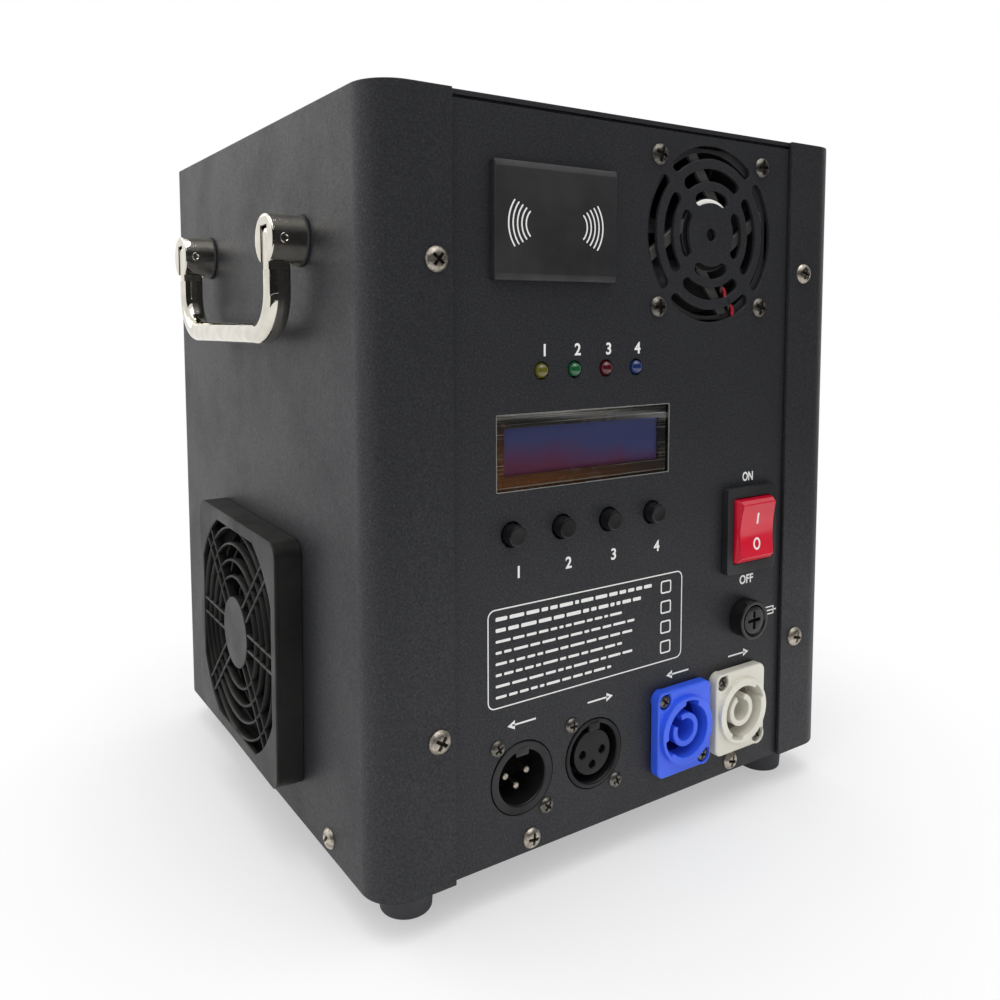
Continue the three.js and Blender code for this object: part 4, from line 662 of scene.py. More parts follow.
def material(name):
    """The finish of one row of FINISHES: its grain, handling marks and dust over one shader."""
    made = bpy.data.materials.get(f"finish_{name}")
    if made:
        return made
    row = FINISHES[name]
    colour = row.colour
    if isinstance(colour, str):
        colour = getattr(bpy.context.scene.machine_colours, colour)
    colour = (*colour, 1)
    made = bpy.data.materials.new(f"finish_{name}")
    made.use_nodes = True
    n = Nodes(made.node_tree)
    where = n.add("ShaderNodeTexCoord").outputs["Object"]

    def layer(title, build, gives, takes, usual, value):
        """A group's outputs, from the coordinates and one number."""
        inputs = [("Coordinates", "NodeSocketVector", None), (takes, "NodeSocketFloat", usual)]
        tree = group(title, inputs, gives, build)
        used = n.add("ShaderNodeGroup", {"Coordinates": where, takes: value}, node_tree=tree)
        return used.outputs

    grain = layer(*GRAINS[row.grain], ["Height", "Shade", "Sheen mask"], "Size", 1000.0, row.size)
    marks = layer("Handling marks", smudges, ["Marks"], "Amount", 0.1, row.marks)["Marks"]
    dust = layer("Settled dust", settled_dust, ["Dust"], "Amount", 0.1, row.dust)["Dust"]
    dark = tuple(c * (1 - row.vary) for c in colour[:3]) + (1,)
    light = tuple(min(c * (1 + 0.6 * row.vary), 1) for c in row.second or colour[:3]) + (1,)
    body = n.blend(grain["Shade"], dark, light)
    # third paints a reflection into the colour where the sheen mask is high.
    if row.third:
        body = n.blend(grain["Sheen mask"], body, (*row.third, 1))
    dusty = n.blend(dust, body, (0.35, 0.34, 0.32, 1))
    rough = n.maths("ADD", row.rough - row.marks / 4, n.times(marks, 0.8))
    rough = n.maths("ADD", rough, n.times(dust, 0.4), clamp=True)
    bump = n.add("ShaderNodeBump", {
        "Strength": 0.6, "Distance": row.depth / 1000, "Height": grain["Height"]})
    level = row.level
    if not row.glass:
        level = n.span(grain["Shade"], 0.2, 0.8, level * (1 - row.vary), level * (1 + row.vary))
    values = {
        "Base Color": dusty, "Metallic": row.metal, "Roughness": rough,
        "Normal": bump.outputs[0], "Specular IOR Level": level,
        "Coat Weight": row.coat, "Coat Roughness": 0.06, "Transmission Weight": row.glass,
    }
    if row.glow:
        values |= {"Emission Color": colour, "Emission Strength": row.glow}
    shader = n.add("ShaderNodeBsdfPrincipled", values)
    n.add("ShaderNodeOutputMaterial", {0: shader.outputs[0]})
    return made


def finish_node(name, finish):
    """A CAD piece that stays gets a finish of its own."""
    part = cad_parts[name]
    part.data.materials.clear()
    part.data.materials.append(material(finish))


# Pieces


class Made:
    """What every operator here shares: one undo step."""

    bl_options = {"REGISTER", "UNDO"}


def on_plane(shape, axis, value):
    """Leaves out the faces of a shape that lie on a plane."""
    points, faces = shape
    keep = ~(np.abs(points[faces][:, :, axis] - value) < 1e-3).all(1)
    return points, faces[keep]


def rectangle(a0, b0, a1, b1):
    """The four corners of a rectangle."""
    return np.array([(a0, b0), (a1, b0), (a1, b1), (a0, b1)], float)


class SPARK_OT_case(Made, bpy.types.Operator):
    """The bent case: flat sides joined by quarter-circle bends, point (x + r cos t, y + r sin t)
    round a bend's middle for both faces of the sheet, with the fan's hole and the vent slots"""

    bl_idname = "spark.case"
    bl_label = "Case"

    def execute(self, context):
        w, d, h = SIZE
        r, t = BEND, SHEET
        left, right = 26, w - 28
        fan_hole, vent_low, vent_pitch, vent_wide, vent_high = 38, 40, 9, 56, 4
        fan = circle(*FAN_SIDE, fan_hole, 72)
        vents = [rounded(w / 2, vent_low + vent_pitch * i, vent_wide, vent_high, vent_high / 2, 7)
                 for i in range(5)]
        side = rectangle(r, 0, d - r, h)
        plates = [
            (slab(side, [fan], 0, t, "x", 0), 1, (r, d - r)),
            (slab(side, [], w - t, w, "x", 0), 1, (r, d - r)),
            (slab(rectangle(r, 0, w - r, h), vents, d - t, d, "y", 0), 0, (r, w - r)),
            (slab(rectangle(r, 0, left, h), [], 0, t, "y", 0), 0, (r,)),
            (slab(rectangle(right, 0, w - r, h), [], 0, t, "y", 0), 0, (w - r,)),
        ]
        shapes = []
        for shape, axis, joints in plates:
            for value in joints:
                shape = on_plane(shape, axis, value)
            shapes.append((shape, "black_coat"))
        radius, height = np.array([(r, 0), (r, h), (r - t, h), (r - t, 0)]).T[:, :, None]
        for x, y, start in ((r, r, 180), (w - r, r, 270), (w - r, d - r, 0), (r, d - r, 90)):
            a = np.radians(np.linspace(start, start + 90, 13))
            points = axes(x + radius * np.cos(a), y + radius * np.sin(a), height, "z")
            shapes.append((grid(points, along=True), "black_coat"))
        edge = context.scene.machine_sizes.edge
        piece("case_shell", shapes, cad="case_wrap", bevel=edge, flat=True, sharp=50)
        finish_node("base_tray", "black_coat")
        return {"FINISHED"}


class SPARK_OT_top(Made, bpy.types.Operator):
    """The top plate with its turned-down lip and two round holes"""

    bl_idname = "spark.top"
    bl_label = "Top plate"

    def execute(self, context):
        w, d, h = SIZE
        edge = context.scene.machine_sizes.edge
        outlet_hole, hopper_hole, gap, lip, corner = 24.3, 34.3, 1.7, 4.0, 10.3
        holes = [circle(OUTLET, DRIVE_Y, outlet_hole, 80), circle(HOPPER, DRIVE_Y, hopper_hole, 96)]
        wide, deep = w - 2 * gap, d - gap - BEHIND
        middle = BEHIND + deep / 2
        plate = rounded(w / 2, d / 2, wide, d - 2 * gap, corner, 9)
        outer = rounded(w / 2, middle, wide, deep, corner, 9)
        inner = rounded(w / 2, middle, wide - 2 * SHEET, deep - 2 * SHEET, corner - SHEET, 9)
        piece("top_sheet", [
            (slab(plate, holes, h - SHEET, h, "z", edge), "black_coat"),
            (slab(outer, [inner], h - SHEET - lip, h - 1.4, "z", 0), "black_coat"),
        ], cad="top_plate", flat=True)
        return {"FINISHED"}


class SPARK_OT_panel(Made, bpy.types.Operator):
    """The control front: one sheet with arc slots on three circles, the display window and the
    round holes of lamps, buttons, fuse and sockets"""

    bl_idname = "spark.panel"
    bl_label = "Front panel"

    def execute(self, context):
        w, _, h = SIZE
        rings = ((28.5, 36.8), (20.7, 33.6), (13.3, 26.5))
        slot, centre_hole, fuse_hole = 4.4, 2.3, 6.5
        lamp_hole, button_hole, socket_hole = 2.8, 4.05, 12.1
        window, remote_hole, switch_hole = (72.7, 24.4), (40.6, 28.6), (23.2, 29.2)
        side_gap, foot_gap, top_gap = 12.3, 0.2, 2.5
        holes = [
            *(arc_slot(*FAN_FRONT, radius, slot, middle, half)
              for radius, half in rings for middle in (0, 90, 180, 270)),
            circle(*FAN_FRONT, centre_hole, 28), rounded(*LCD, *window, 0.6, 3),
            rounded(*REMOTE, *remote_hole, 0.5, 3), rounded(*SWITCH, *switch_hole, 0.5, 3),
            circle(*FUSE, fuse_hole), *(circle(x, LAMP_Z, lamp_hole, 40) for x in LAMPS),
            *(circle(x, BUTTON_Z, button_hole, 48) for x in BUTTONS),
            *(circle(x, SOCKET_Z, socket_hole, 72)
              for x in (SIGNAL_IN, SIGNAL_OUT, POWER_IN, POWER_OUT)),
        ]
        outline = rectangle(side_gap, foot_gap, w - side_gap, h - top_gap)
        edge = context.scene.machine_sizes.edge
        sheet = slab(outline, holes, PANEL, PANEL_BACK, "y", edge)
        piece("panel_sheet", [(sheet, "black_coat")], cad="front_panel", flat=True)
        return {"FINISHED"}


class SPARK_OT_feet(Made, bpy.types.Operator):
    """Rubber feet: a turned profile with a recess, and the screw in it"""

    bl_idname = "spark.feet"
    bl_label = "Feet"

    def execute(self, context):
        w, d, _ = SIZE
        inset, tall, recess, bore, tread, base = 18, 13, 6, 4, 8.3, 9
        profile = soften([(0, -recess), (bore, -recess), (bore, -tall), (tread, -tall),
                          (base, -0.2), (0, -0.2)], 0.8, 4)
        for end, y in (("front", inset), ("rear", d - inset)):
            for side, x in (("left", inset), ("right", w - inset)):
                piece(f"foot_{end}_{side}_rubber", [
                    (lathe(profile, (x, y, 0), "z", 64), "rubber"),
                    *screw(x, -recess - 0.1, y, 3.2, (0, 0, -1)),
                ], cad=f"foot_{end}_{side}")
        return {"FINISHED"}


class SPARK_OT_handles(Made, bpy.types.Operator):
    """Drop handles: forked posts, a bail swept along a U with round bends, and its pins"""

    bl_idname = "spark.handles"
    bl_label = "Handles"

    def shapes(self):
        """One handle in its own frame: x out of the wall, y along it, z up from the pins."""
        radius, gap, mouth, root, rim = 8, 2.85, -7, 4.15, 8.3
        cheek = arc(0, 0, radius, -61, 241, 90)
        arch = np.r_[[(gap, mouth)], cheek, [(-gap, mouth), (-gap, root), (gap, root)]]
        gasket = soften([(0, 0.1), (rim, 0.1), (rim, 1.0), (0, 1.0)], 0.3)
        post = [
            (slab(circle(0, 0, radius, 96), [], 0.9, 3.95, "x", 0), "chrome"),
            (slab(arch, [], 3.3, 12.3, "x", 0.65, 4), "chrome"),
            (lathe(gasket, (0, 0, 0), "x"), "rubber"),
        ]
        ends = soften([(0, -8.0), (0.8, -8.0), (1.0, -8.25), (1.6, -8.2), (1.6, 8.2), (1.0, 8.25),
                       (0.8, 8.0), (0, 8.0)], 0.15)
        pin = [(lathe(ends, (PIN_OUT, 0, 0), "y", 32), "chrome")]
        drop, bend, start = 29.4, 14.2, -9.4
        left = arc(bend - POST_HALF, bend - drop, bend, 180, 270, 32)
        right = arc(POST_HALF - bend, bend - drop, bend, 270, 360, 32)
        route = np.r_[
            [(-POST_HALF, start), (-POST_HALF, start - 1)], left,
            np.c_[np.linspace(bend - POST_HALF, POST_HALF - bend, 6)[1:-1], np.full(4, -drop)],
            right, [(POST_HALF, start - 1), (POST_HALF, start)],
        ]
        path = np.c_[np.full(len(route), PIN_OUT), route]
        thick, wide = 8.4, 7.4
        section = rounded(0, 0, thick, wide, 3.4, 14)
        bail = [(sweep(path, section, (1, 0, 0)), "chrome")]
        tongue = np.r_[arc(0, 1.2, 2.5, 0, 180, 30), [(-2.5, -12), (2.5, -12)]]
        for y in (-POST_HALF, POST_HALF):
            shape = slab(tongue, [], PIN_OUT - 3.8, PIN_OUT + 3.7, "x", 0.9, 4)
            bail.append((moved(shape, y=y), "chrome"))
        return post, pin, bail

    def execute(self, context):
        post, pin, bail = self.shapes()

        def placed(shapes, side, y=0.0):
            """Shapes of a handle put on the left or right wall."""
            out = []
            for shape, finish in shapes:
                shape = moved(shape, y=y)
                if side == "left":
                    shape = flipped(flipped(shape, 0, 0), 0, 1)
                out.append((moved(shape, 0 if side == "left" else SIZE[0], *HANDLE), finish))
            return out

        for side, ends in (("left", (("front", 1), ("rear", -1))),
                           ("right", (("front", -1), ("rear", 1)))):
            for end, sign in ends:
                y = sign * POST_HALF
                piece(f"{side}_post_{end}", placed(post, side, y), cad=f"{side}_handle_post_{end}",
                      flat=True)
                piece(f"{side}_pin_{end}", placed(pin, side, y), cad=f"{side}_handle_pin_{end}")
            piece(f"{side}_bail_bar", placed(bail, side), body=f"{side}_bail",
                  cad=f"{side}_handle_bail", flat=True)
        return {"FINISHED"}


def window_outline(half, radius):
    """A square's sides where a larger circle has cut its corners round."""
    corner = math.degrees(math.acos(half / radius))
    return np.concatenate([
        arc(0, 0, radius, turn + corner, turn + 90 - corner, 20) for turn in (0, 90, 180, 270)
    ])


class SPARK_OT_guard(Made, bpy.types.Operator):
    """The fan guard: a soft-edged cover, four rings of radius 20.4 + 6 i, paired ribs and a hub,
    over a frame with a coarser grid"""

    bl_idname = "spark.guard"
    bl_label = "Fan guard"

    def bars(self, rings, angles, low, high, width):
        """Turned rings, and straight pairs of ribs as long as the window is at their angle,
        between two distances from the wall."""
        reach = {90: 39.5, 45: 44, -45: 44, 0: 38}
        shapes = []
        middle = (low + high) / 2
        for r in rings:
            turn = arc(r, middle, 1, 0, 360, 13)[:-1] - (r, middle)
            profile = np.c_[r + turn[:, 0] * width / 2, middle + turn[:, 1] * (high - low) / 2]
            shapes.append(lathe(profile, (0, 0, 0), "x", 120))
        profile = [(0.3, low), (0, low + 0.3), (0, high - 0.3), (0.3, high)]
        for angle in angles:
            for side in (-2.8, 2.8):
                long = math.sqrt(max(reach[angle] ** 2 - side**2, 1))
                rib = pad(side, 0, width * 0.8, 2 * long, 0.3, profile, "x")
                shapes.append(turned(rib, angle, "x"))
        return shapes

    def execute(self, context):
        size, inner, face, hub, askew = 84.6, 78.4, 9.6, 13.0, 1.2
        rings = [20.4 + 6 * i for i in range(4)]
        outline, inside = rounded(0, 0, size, size, 5, 9), rounded(0, 0, inner, inner, 3.2, 9)
        wall = rounded(0, 0, size - 0.04, size - 0.04, 5, 9)
        disc = [(0, face - 3.4), (hub, face - 3.4), (hub, face - 0.1), (0, face - 0.1)]
        cover = [
            slab(outline, [window_outline(38, 43)], face - 2, face, "x", 0.5, 3),
            slab(wall, [inside], 0.2, face - 0.8, "x", 0.1, 1),
            *self.bars(rings, (90, 45, -45), face - 3.6, face - 0.3, 1.25),
            lathe(soften(disc, 0.3), (0, 0, 0), "x", 72),
        ]
        frame_size, frame_hole = 77.8, 36.4
        outline = rounded(0, 0, frame_size, frame_size, 3.2, 9)
        deep = [
            slab(outline, [circle(0, 0, frame_hole, 90)], 0.2, 2.6, "x", 0.3),
            *self.bars(rings[::2], (0,), 0.3, 1.8, 1.3),
        ]

        def placed(shapes, angle):
            """Shapes turned to the left wall and round the fan's axis."""
            out = [turned(flipped(flipped(s, 0, 0), 0, 1), angle, "x") for s in shapes]
            return [(moved(s, 0, *FAN_SIDE), "guard_plastic") for s in out]

        piece("guard_cover", placed(cover, askew), cad="fan_guard", flat=True)
        piece("guard_frame", placed(deep, 0.0), cad="filter_frame", flat=True)
        return {"FINISHED"}


def blade(hub, tip, front, back, twist, turn):
    """One fan blade: at chord share s the angle is turn + twist (s (1 - 0.25 k) + 0.5 s (1 - s)),
    with k from hub to tip. Its faces lie half of 1.1 mm to either side, less at both edges."""
    k = np.linspace(0, 1, 9)[:, None]
    s = np.linspace(0, 1, 9)
    r = hub + (tip - hub) * k
    angle = turn + twist * s * (1 - 0.25 * k) + 0.5 * twist * s * (1 - s)
    h = front + (back - front) * s + 0 * r
    spread = 0.55 * np.sqrt(np.clip(1 - (2 * s - 1) ** 6, 0.02, 1)) / r
    faces = [axes(r * np.cos(a), r * np.sin(a), h, "x") for a in (angle - spread, angle + spread)]
    loop = np.concatenate([faces[0], faces[1][:, ::-1]], 1)
    ends = [np.repeat(loop[i].mean(0)[None, None], loop.shape[1], 1) for i in (0, -1)]
    return grid(np.concatenate([ends[0], loop, ends[1]]), around=True)


class SPARK_OT_fans(Made, bpy.types.Operator):
    """Two axial fans: square flanges on a duct, struts to the motor cup, and twisted blades"""

    bl_idname = "spark.fans"
    bl_label = "Fans"

    def frame_shapes(self, size, bore, hub, struts, front):
        """Frame along x from 0, with the motor cup and its struts at one end."""
        outline, out = rounded(0, 0, size, size, 4.5, 7), size / 2 - 4
        screws = [circle(a * out, b * out, 2.1, 20) for a in (-1, 1) for b in (-1, 1)]
        holes, deep, flange, cup = [circle(0, 0, bore, 72), *screws], 25, 3.5, 2
        shapes = [(slab(outline, holes, x, x + flange, "x", 0.4), "fan_plastic")
                  for x in (0, deep - flange)]
        duct = soften([(bore, 1), (bore + 1.6, 1), (bore + 1.6, deep - 1), (bore, deep - 1),
                       (bore, 1)], 0.2)
        shapes.append((lathe(duct, (0, 0, 0), "x", 72), "fan_plastic"))
        x = 0 if front else deep - cup
        for angle in struts:
            off, long = (-0.735 * hub, bore - 7.2) if front else (0, bore - hub + 2.4)
            arm = pad(off, bore - 0.6 - long / 2, 4, long, 0.6,
                      [(0.4, x), (0, x + 0.4), (0, x + cup - 0.4), (0.4, x + cup)], "x")
            # The front fan's struts take the lighter copy of the fan's plastic: painted light.
            shapes.append((turned(arm, angle, "x"), "strut_plastic" if front else "fan_plastic"))
        disc = soften([(0, x), (hub, x), (hub, x + cup), (0, x + cup)], 0.4)
        shapes.append((lathe(disc, (0, 0, 0), "x", 64), "fan_plastic"))
        return shapes

    def rotor_shapes(self, hub, bore, low, high, twist):
        """Hub with a soft rim and a shallow dish, and seven blades."""
        profile = soften([(0, low + 0.8), (hub * 0.7, low + 0.8), (hub * 0.78, low),
                          (hub, low), (hub, high), (0, high)], 0.9, 4)
        shapes = [(lathe(profile, (0, 0, 0), "x", 64), "fan_plastic")]
        for i in range(7):
            wing = blade(hub - 0.8, bore - 1.3, low + 2, high - 2, twist, TAU * i / 7)
            shapes.append((wing, "fan_plastic"))
        return shapes

    def wires(self):
        """Two wires wound round each other, half a turn apart, along a line behind the slots."""
        k = np.linspace(0, 1, 40)[:, None]
        along = np.array((5.4, -17.5)) * (1 - k) + np.array((12.5, -28.0)) * k
        wires = []
        for start, finish in ((0, "red_wire"), (math.pi, "black_wire")):
            sway = 0.62 * np.sin(11 * k[:, 0] + start)
            path = np.c_[FAN_FRONT[0] + along[:, 0] + 0.83 * sway,
                         BEHIND - 0.75 + 0.62 * np.cos(11 * k[:, 0] + start),
                         FAN_FRONT[1] + along[:, 1] + 0.55 * sway]
            wires.append((sweep(path, circle(0, 0, 0.6, 12), (0, 1, 0)), finish))
        return wires

    def execute(self, context):
        twist = context.scene.machine_sizes.blade_twist

        def side(shapes):
            """Shapes put behind the left wall."""
            return [(moved(s, 1.7, *FAN_SIDE), f) for s, f in shapes]

        def front(shapes):
            """Shapes turned and put behind the panel."""
            return [(moved(turned(s, 90, "z"), FAN_FRONT[0], BEHIND, FAN_FRONT[1]), f)
                    for s, f in shapes]

        size, bore, hub = 80, 38, 16
        piece("side_fan_body", side(self.frame_shapes(size, bore, hub, (30, 150, 270), False)),
              cad="side_fan_frame")
        piece("side_fan_wheel", side(self.rotor_shapes(hub, bore, 0.4, 22.6, twist)),
              body="side_fan", cad="side_fan_rotor")
        size, bore, hub, sticker = 60, 28.5, 13, 12.4
        shapes = self.frame_shapes(size, bore, hub, (-36, 54, 144, 234), True)
        disc = soften([(0, -0.1), (sticker, -0.1), (sticker, 0.05), (0, 0.05)], 0.05)
        shapes.append((lathe(disc, (0, 0, 0), "x", 64), "gloss_black"))
        crescent = np.r_[arc(0, 0, 12.6, 52, 132, 24), arc(0, -2.5, 12.2, 126, 58, 24)]
        # The sticker's finish glows a little: painted light.
        shapes.append((slab(crescent, [], -0.16, 0, "x", 0), "sticker"))
        piece("exhaust_fan_body", front(shapes), cad="exhaust_fan_frame")
        piece("exhaust_fan_wheel", front(self.rotor_shapes(hub, bore, 2.4, 24.6, twist)),
              body="exhaust_fan", cad="exhaust_fan_rotor")
        piece("exhaust_fan_wire", self.wires())
        return {"FINISHED"}


class SPARK_OT_remote(Made, bpy.types.Operator):
    """The remote receiver's cover: a plate with wide bevels, and its tub behind the panel"""

    bl_idname = "spark.remote"
    bl_label = "Remote cover"

    def execute(self, context):
        x, z = REMOTE
        wide, high = 47.3, 35.4
        profile = soften([(0, 0, 1.65), (0, 0, -0.8), (0.5, 2.0, -1.5), (3, 5, -1.5)], 0.2, 3)
        rings = [(rounded(x, z, wide - 2 * a, high - 2 * b, 0.6), h) for a, b, h in profile]
        tub = [(1, 1.5), (0, 1.5), (0, 12), (0.4, 12.4), (2, 12.4)]
        piece("remote_plate", [
            (loft(rings), "cover_plastic"),
            (pad(x, z, 40, 28, 0.5, tub), "black_plastic"),
        ], cad="remote_cover", sharp=25)
        return {"FINISHED"}


class SPARK_OT_display(Made, bpy.types.Operator):
    """The display: a rim with painted reflections round dark glass on its board, behind a clear
    pane
    """

    bl_idname = "spark.display"
    bl_label = "Display"

    def execute(self, context):
        x, z = LCD
        rim_size, view, base_size = (71.2, 23.6), (64.6, 14.8), (80, 36)
        rim = slab(rounded(x, z, *rim_size, 0.6, 3), [rounded(x, z, *view, 0.4, 3)], 3.5, 6, "y",
                   0.25)
        glass = pad(x, z, 70.6, 23, 0.4, [(2, 4.7), (0.1, 4.7), (0, 4.8), (0, 13)])
        holes = [circle(x + a * 37.4, z + b * 15.4, 1.4, 20) for a in (-1, 1) for b in (-1, 1)]
        base = slab(rounded(x, z, *base_size, 1, 4), holes, 12.2, 13.8, "y", 0.1)
        piece("display_module", [
            (rim, "display_rim"), (glass, "display_glass"), (base, "board"),
        ], cad="lcd_module")
        pane = pad(x, z, 72.1, 23.8, 0.5, [
            (1, 2.0), (0.2, 2.0), (0, 2.2), (0, 3.0), (0.2, 3.2), (1, 3.2)])
        # The pane's edge is a grey band: painted light on the clear pane's edge.
        edge = slab(rounded(x, z, 72.4, 24.1, 0.5, 3), [rounded(x, z, 71.9, 23.6, 0.4, 3)],
                    1.75, 2.1, "y", 0)
        piece("display_pane", [(pane, "pane"), (edge, "pane_edge")], cad="lcd_window",
              sharp=25)
        return {"FINISHED"}


class SPARK_OT_lamps(Made, bpy.types.Operator):
    """Four lamps: domed lenses with a rim behind the panel"""

    bl_idname = "spark.lamps"
    bl_label = "Indicator lamps"

    def execute(self, context):
        t = np.radians(np.arange(90, -1, -9))
        dome = np.c_[2.4 * np.cos(t), 2.3 - 2.5 * np.sin(t)]
        profile = [*dome, (2.4, 3.4), (2.9, 3.5), (2.9, 8.2), (2.6, 8.4), (0, 8.4)]
        for x, colour in zip(LAMPS, LENSES):
            lens = lathe(profile, (x, 0, LAMP_Z), "y", 40)
            piece(f"lamp_{colour}", [(lens, f"{colour}_lens")], cad=f"led_{colour}")
        return {"FINISHED"}


class SPARK_OT_buttons(Made, bpy.types.Operator):
    """Four push buttons: short posts with a soft edge, a faint dish and a rim behind the panel"""

    bl_idname = "spark.buttons"
    bl_label = "Push buttons"

    def execute(self, context):
        face = [(0, -1.75), (2.3, -1.85), (2.75, -1.9), (3.0, -1.85)]
        wall = [(3.0, -1.85), (3.18, -1.7), (3.25, -1.4), (3.5, 1.0), (3.5, 3.7), (4.75, 3.8),
                (4.75, 4.6), (4.6, 4.7), (0, 4.7)]
        for i, x in enumerate(BUTTONS):
            centre = (x, 0, BUTTON_Z)
            piece(f"button_cap_{i + 1}", [(lathe(face, centre, "y", 56), "button_face"),
                                          (lathe(wall, centre, "y", 56), "gloss_black")],
                  body=f"button_body_{i + 1}", cad=f"button_{i + 1}", sharp=30)
        return {"FINISHED"}


class SPARK_OT_switch(Made, bpy.types.Operator):
    """The mains switch: a bezel round a well, and a rocker that is narrower towards its face,
    which is two shallow bows 0.3 (1 - (2 k - 1)^2) deep that meet at a ridge"""

    bl_idname = "spark.switch"
    bl_label = "Mains switch"

    def rocker(self):
        """The rocker's skin through copies of its side view, and its two signs bent to its face."""
        run = np.linspace(0, 1, 15)[1:-1, None]
        ridge, top, foot = (np.array(at) for at in ((-3.6, 0.3), (-4.7, 10.3), (-4.6, -9.7)))

        def dished(start, end):
            """One bow between two points of the face."""
            return start + (end - start) * run + 0.3 * (1 - (2 * run - 1) ** 2) * (1, 0)

        side = arc(0, 0, 11.9, 105, 63, 9)
        mirrored = side[::-1] * (1, -1)
        upper, lower = dished(ridge, top), dished(foot, ridge)
        outline = np.concatenate([
            [ridge], upper, soften([upper[-1], top, side[0]], 0.3, 4)[1:-1], side, mirrored,
            soften([mirrored[-1], foot, lower[0]], 0.3, 4)[1:-1], lower,
        ])
        half = np.interp(outline[:, 0], [-4.7, -1.5], [8.55, 9.65])
        centre = outline.mean(0)
        away = outline - centre
        rows = []
        for k, inset in ((-1, 0.3), (-0.988, 0.09), (-0.965, 0), (0, 0), (0.965, 0), (0.988, 0.09),
                         (1, 0.3)):
            shrink = 1 - inset / np.linalg.norm(away, axis=1, keepdims=True)
            rows.append(np.c_[k * half, centre + away * shrink])
        middle = np.repeat(np.r_[0, centre][None], len(outline), 0)
        rows = [middle - (9.1, 0, 0), *rows, middle + (9.1, 0, 0)]
        tilt, place = 2.0, (SWITCH[0], 0.2, SWITCH[1])
        body = turned(grid(np.stack(rows), around=True), tilt, "x")
        shapes = [(moved(body, *place), "red_plastic")]
        face = np.concatenate([lower, [ridge], upper])
        ring = [arc(0, 0, 1, 0, 360, 41)[:-1] * scale for scale in ((1.9, 2.3), (1.15, 1.55))]
        bar = rectangle(-0.45, -2.1, 0.45, 2.1)
        bar = np.concatenate([np.linspace(bar[i], bar[(i + 1) % 4], 7)[:-1] for i in range(4)])
        for outline, holes, up in ((bar, [], 4.6), (ring[0], [ring[1]], -5.0)):
            points, faces = moved(slab(outline, holes, -0.03, 0.03, "y", 0), z=up)
            points[:, 1] += np.interp(points[:, 2], face[:, 1], face[:, 0])
            shapes.append((moved(turned((points, faces), tilt, "x"), *place), "white_print"))
        return shapes

    def execute(self, context):
        x, z = SWITCH
        bezel, housing = (26.5, 32), (22.6, 28.6)
        well = rounded(x, z, 19.9, 24.4, 0.6, 4)
        shapes = [
            (slab(rounded(x, z, *bezel, 1.2, 6), [well], -1.3, 1.5, "y", 0.2), "switch_black"),
            (slab(rounded(x, z, *housing, 0.6, 4), [well], 1.4, 9.7, "y", 0.1), "black_plastic"),
            (pad(x, z, *housing, 0.6, [(2, 9.6), (0, 9.6), (0, 22.8), (0.4, 23.2), (2, 23.2)]),
             "black_plastic"),
            *((tab(x + a, z + b, 23, 31), "brass") for a in (-5, 5) for b in (-7, 7)),
        ]
        piece("switch_body", shapes, cad="switch_housing", flat=True)
        piece("rocker_body", self.rocker(), body="rocker", cad="switch_rocker", sharp=8)
        return {"FINISHED"}


class SPARK_OT_fuse(Made, bpy.types.Operator):
    """The fuse holder, and its cap with crossed slots"""

    bl_idname = "spark.fuse"
    bl_label = "Fuse"

    def execute(self, context):
        x, z = FUSE
        collar = soften([(5.6, 6.9), (5.6, -3.9), (6.1, -4.3), (7.3, -4.3), (7.3, 1.55),
                         (6.2, 1.55), (6.2, 25), (0, 25), (0, 7.2), (5.6, 6.9)], 0.35)
        barrel = lathe(collar, (x, 0, z), "y", 64)
        piece("fuse_barrel", [(barrel, "gloss_black")], cad="fuse_holder")
        radius, a, b = 5.25, 0.6, 3.3
        cross = np.array([(a, a), (b, a), (b, -a), (a, -a), (a, -b), (-a, -b), (-a, -a), (-b, -a),
                          (-b, a), (-a, a), (-a, b), (a, b)]) + (x, z)
        piece("fuse_top", [
            (slab(circle(x, z, radius, 56), [cross], -4.1, -2.6, "y", 0.2), "gloss_black"),
            (rod(x, z, -2.75, 6.7, radius, 56), "gloss_black"),
        ], body="fuse_cap_body", cad="fuse_cap")
        finish_node("fuse_link", "fuse_glass")
        return {"FINISHED"}


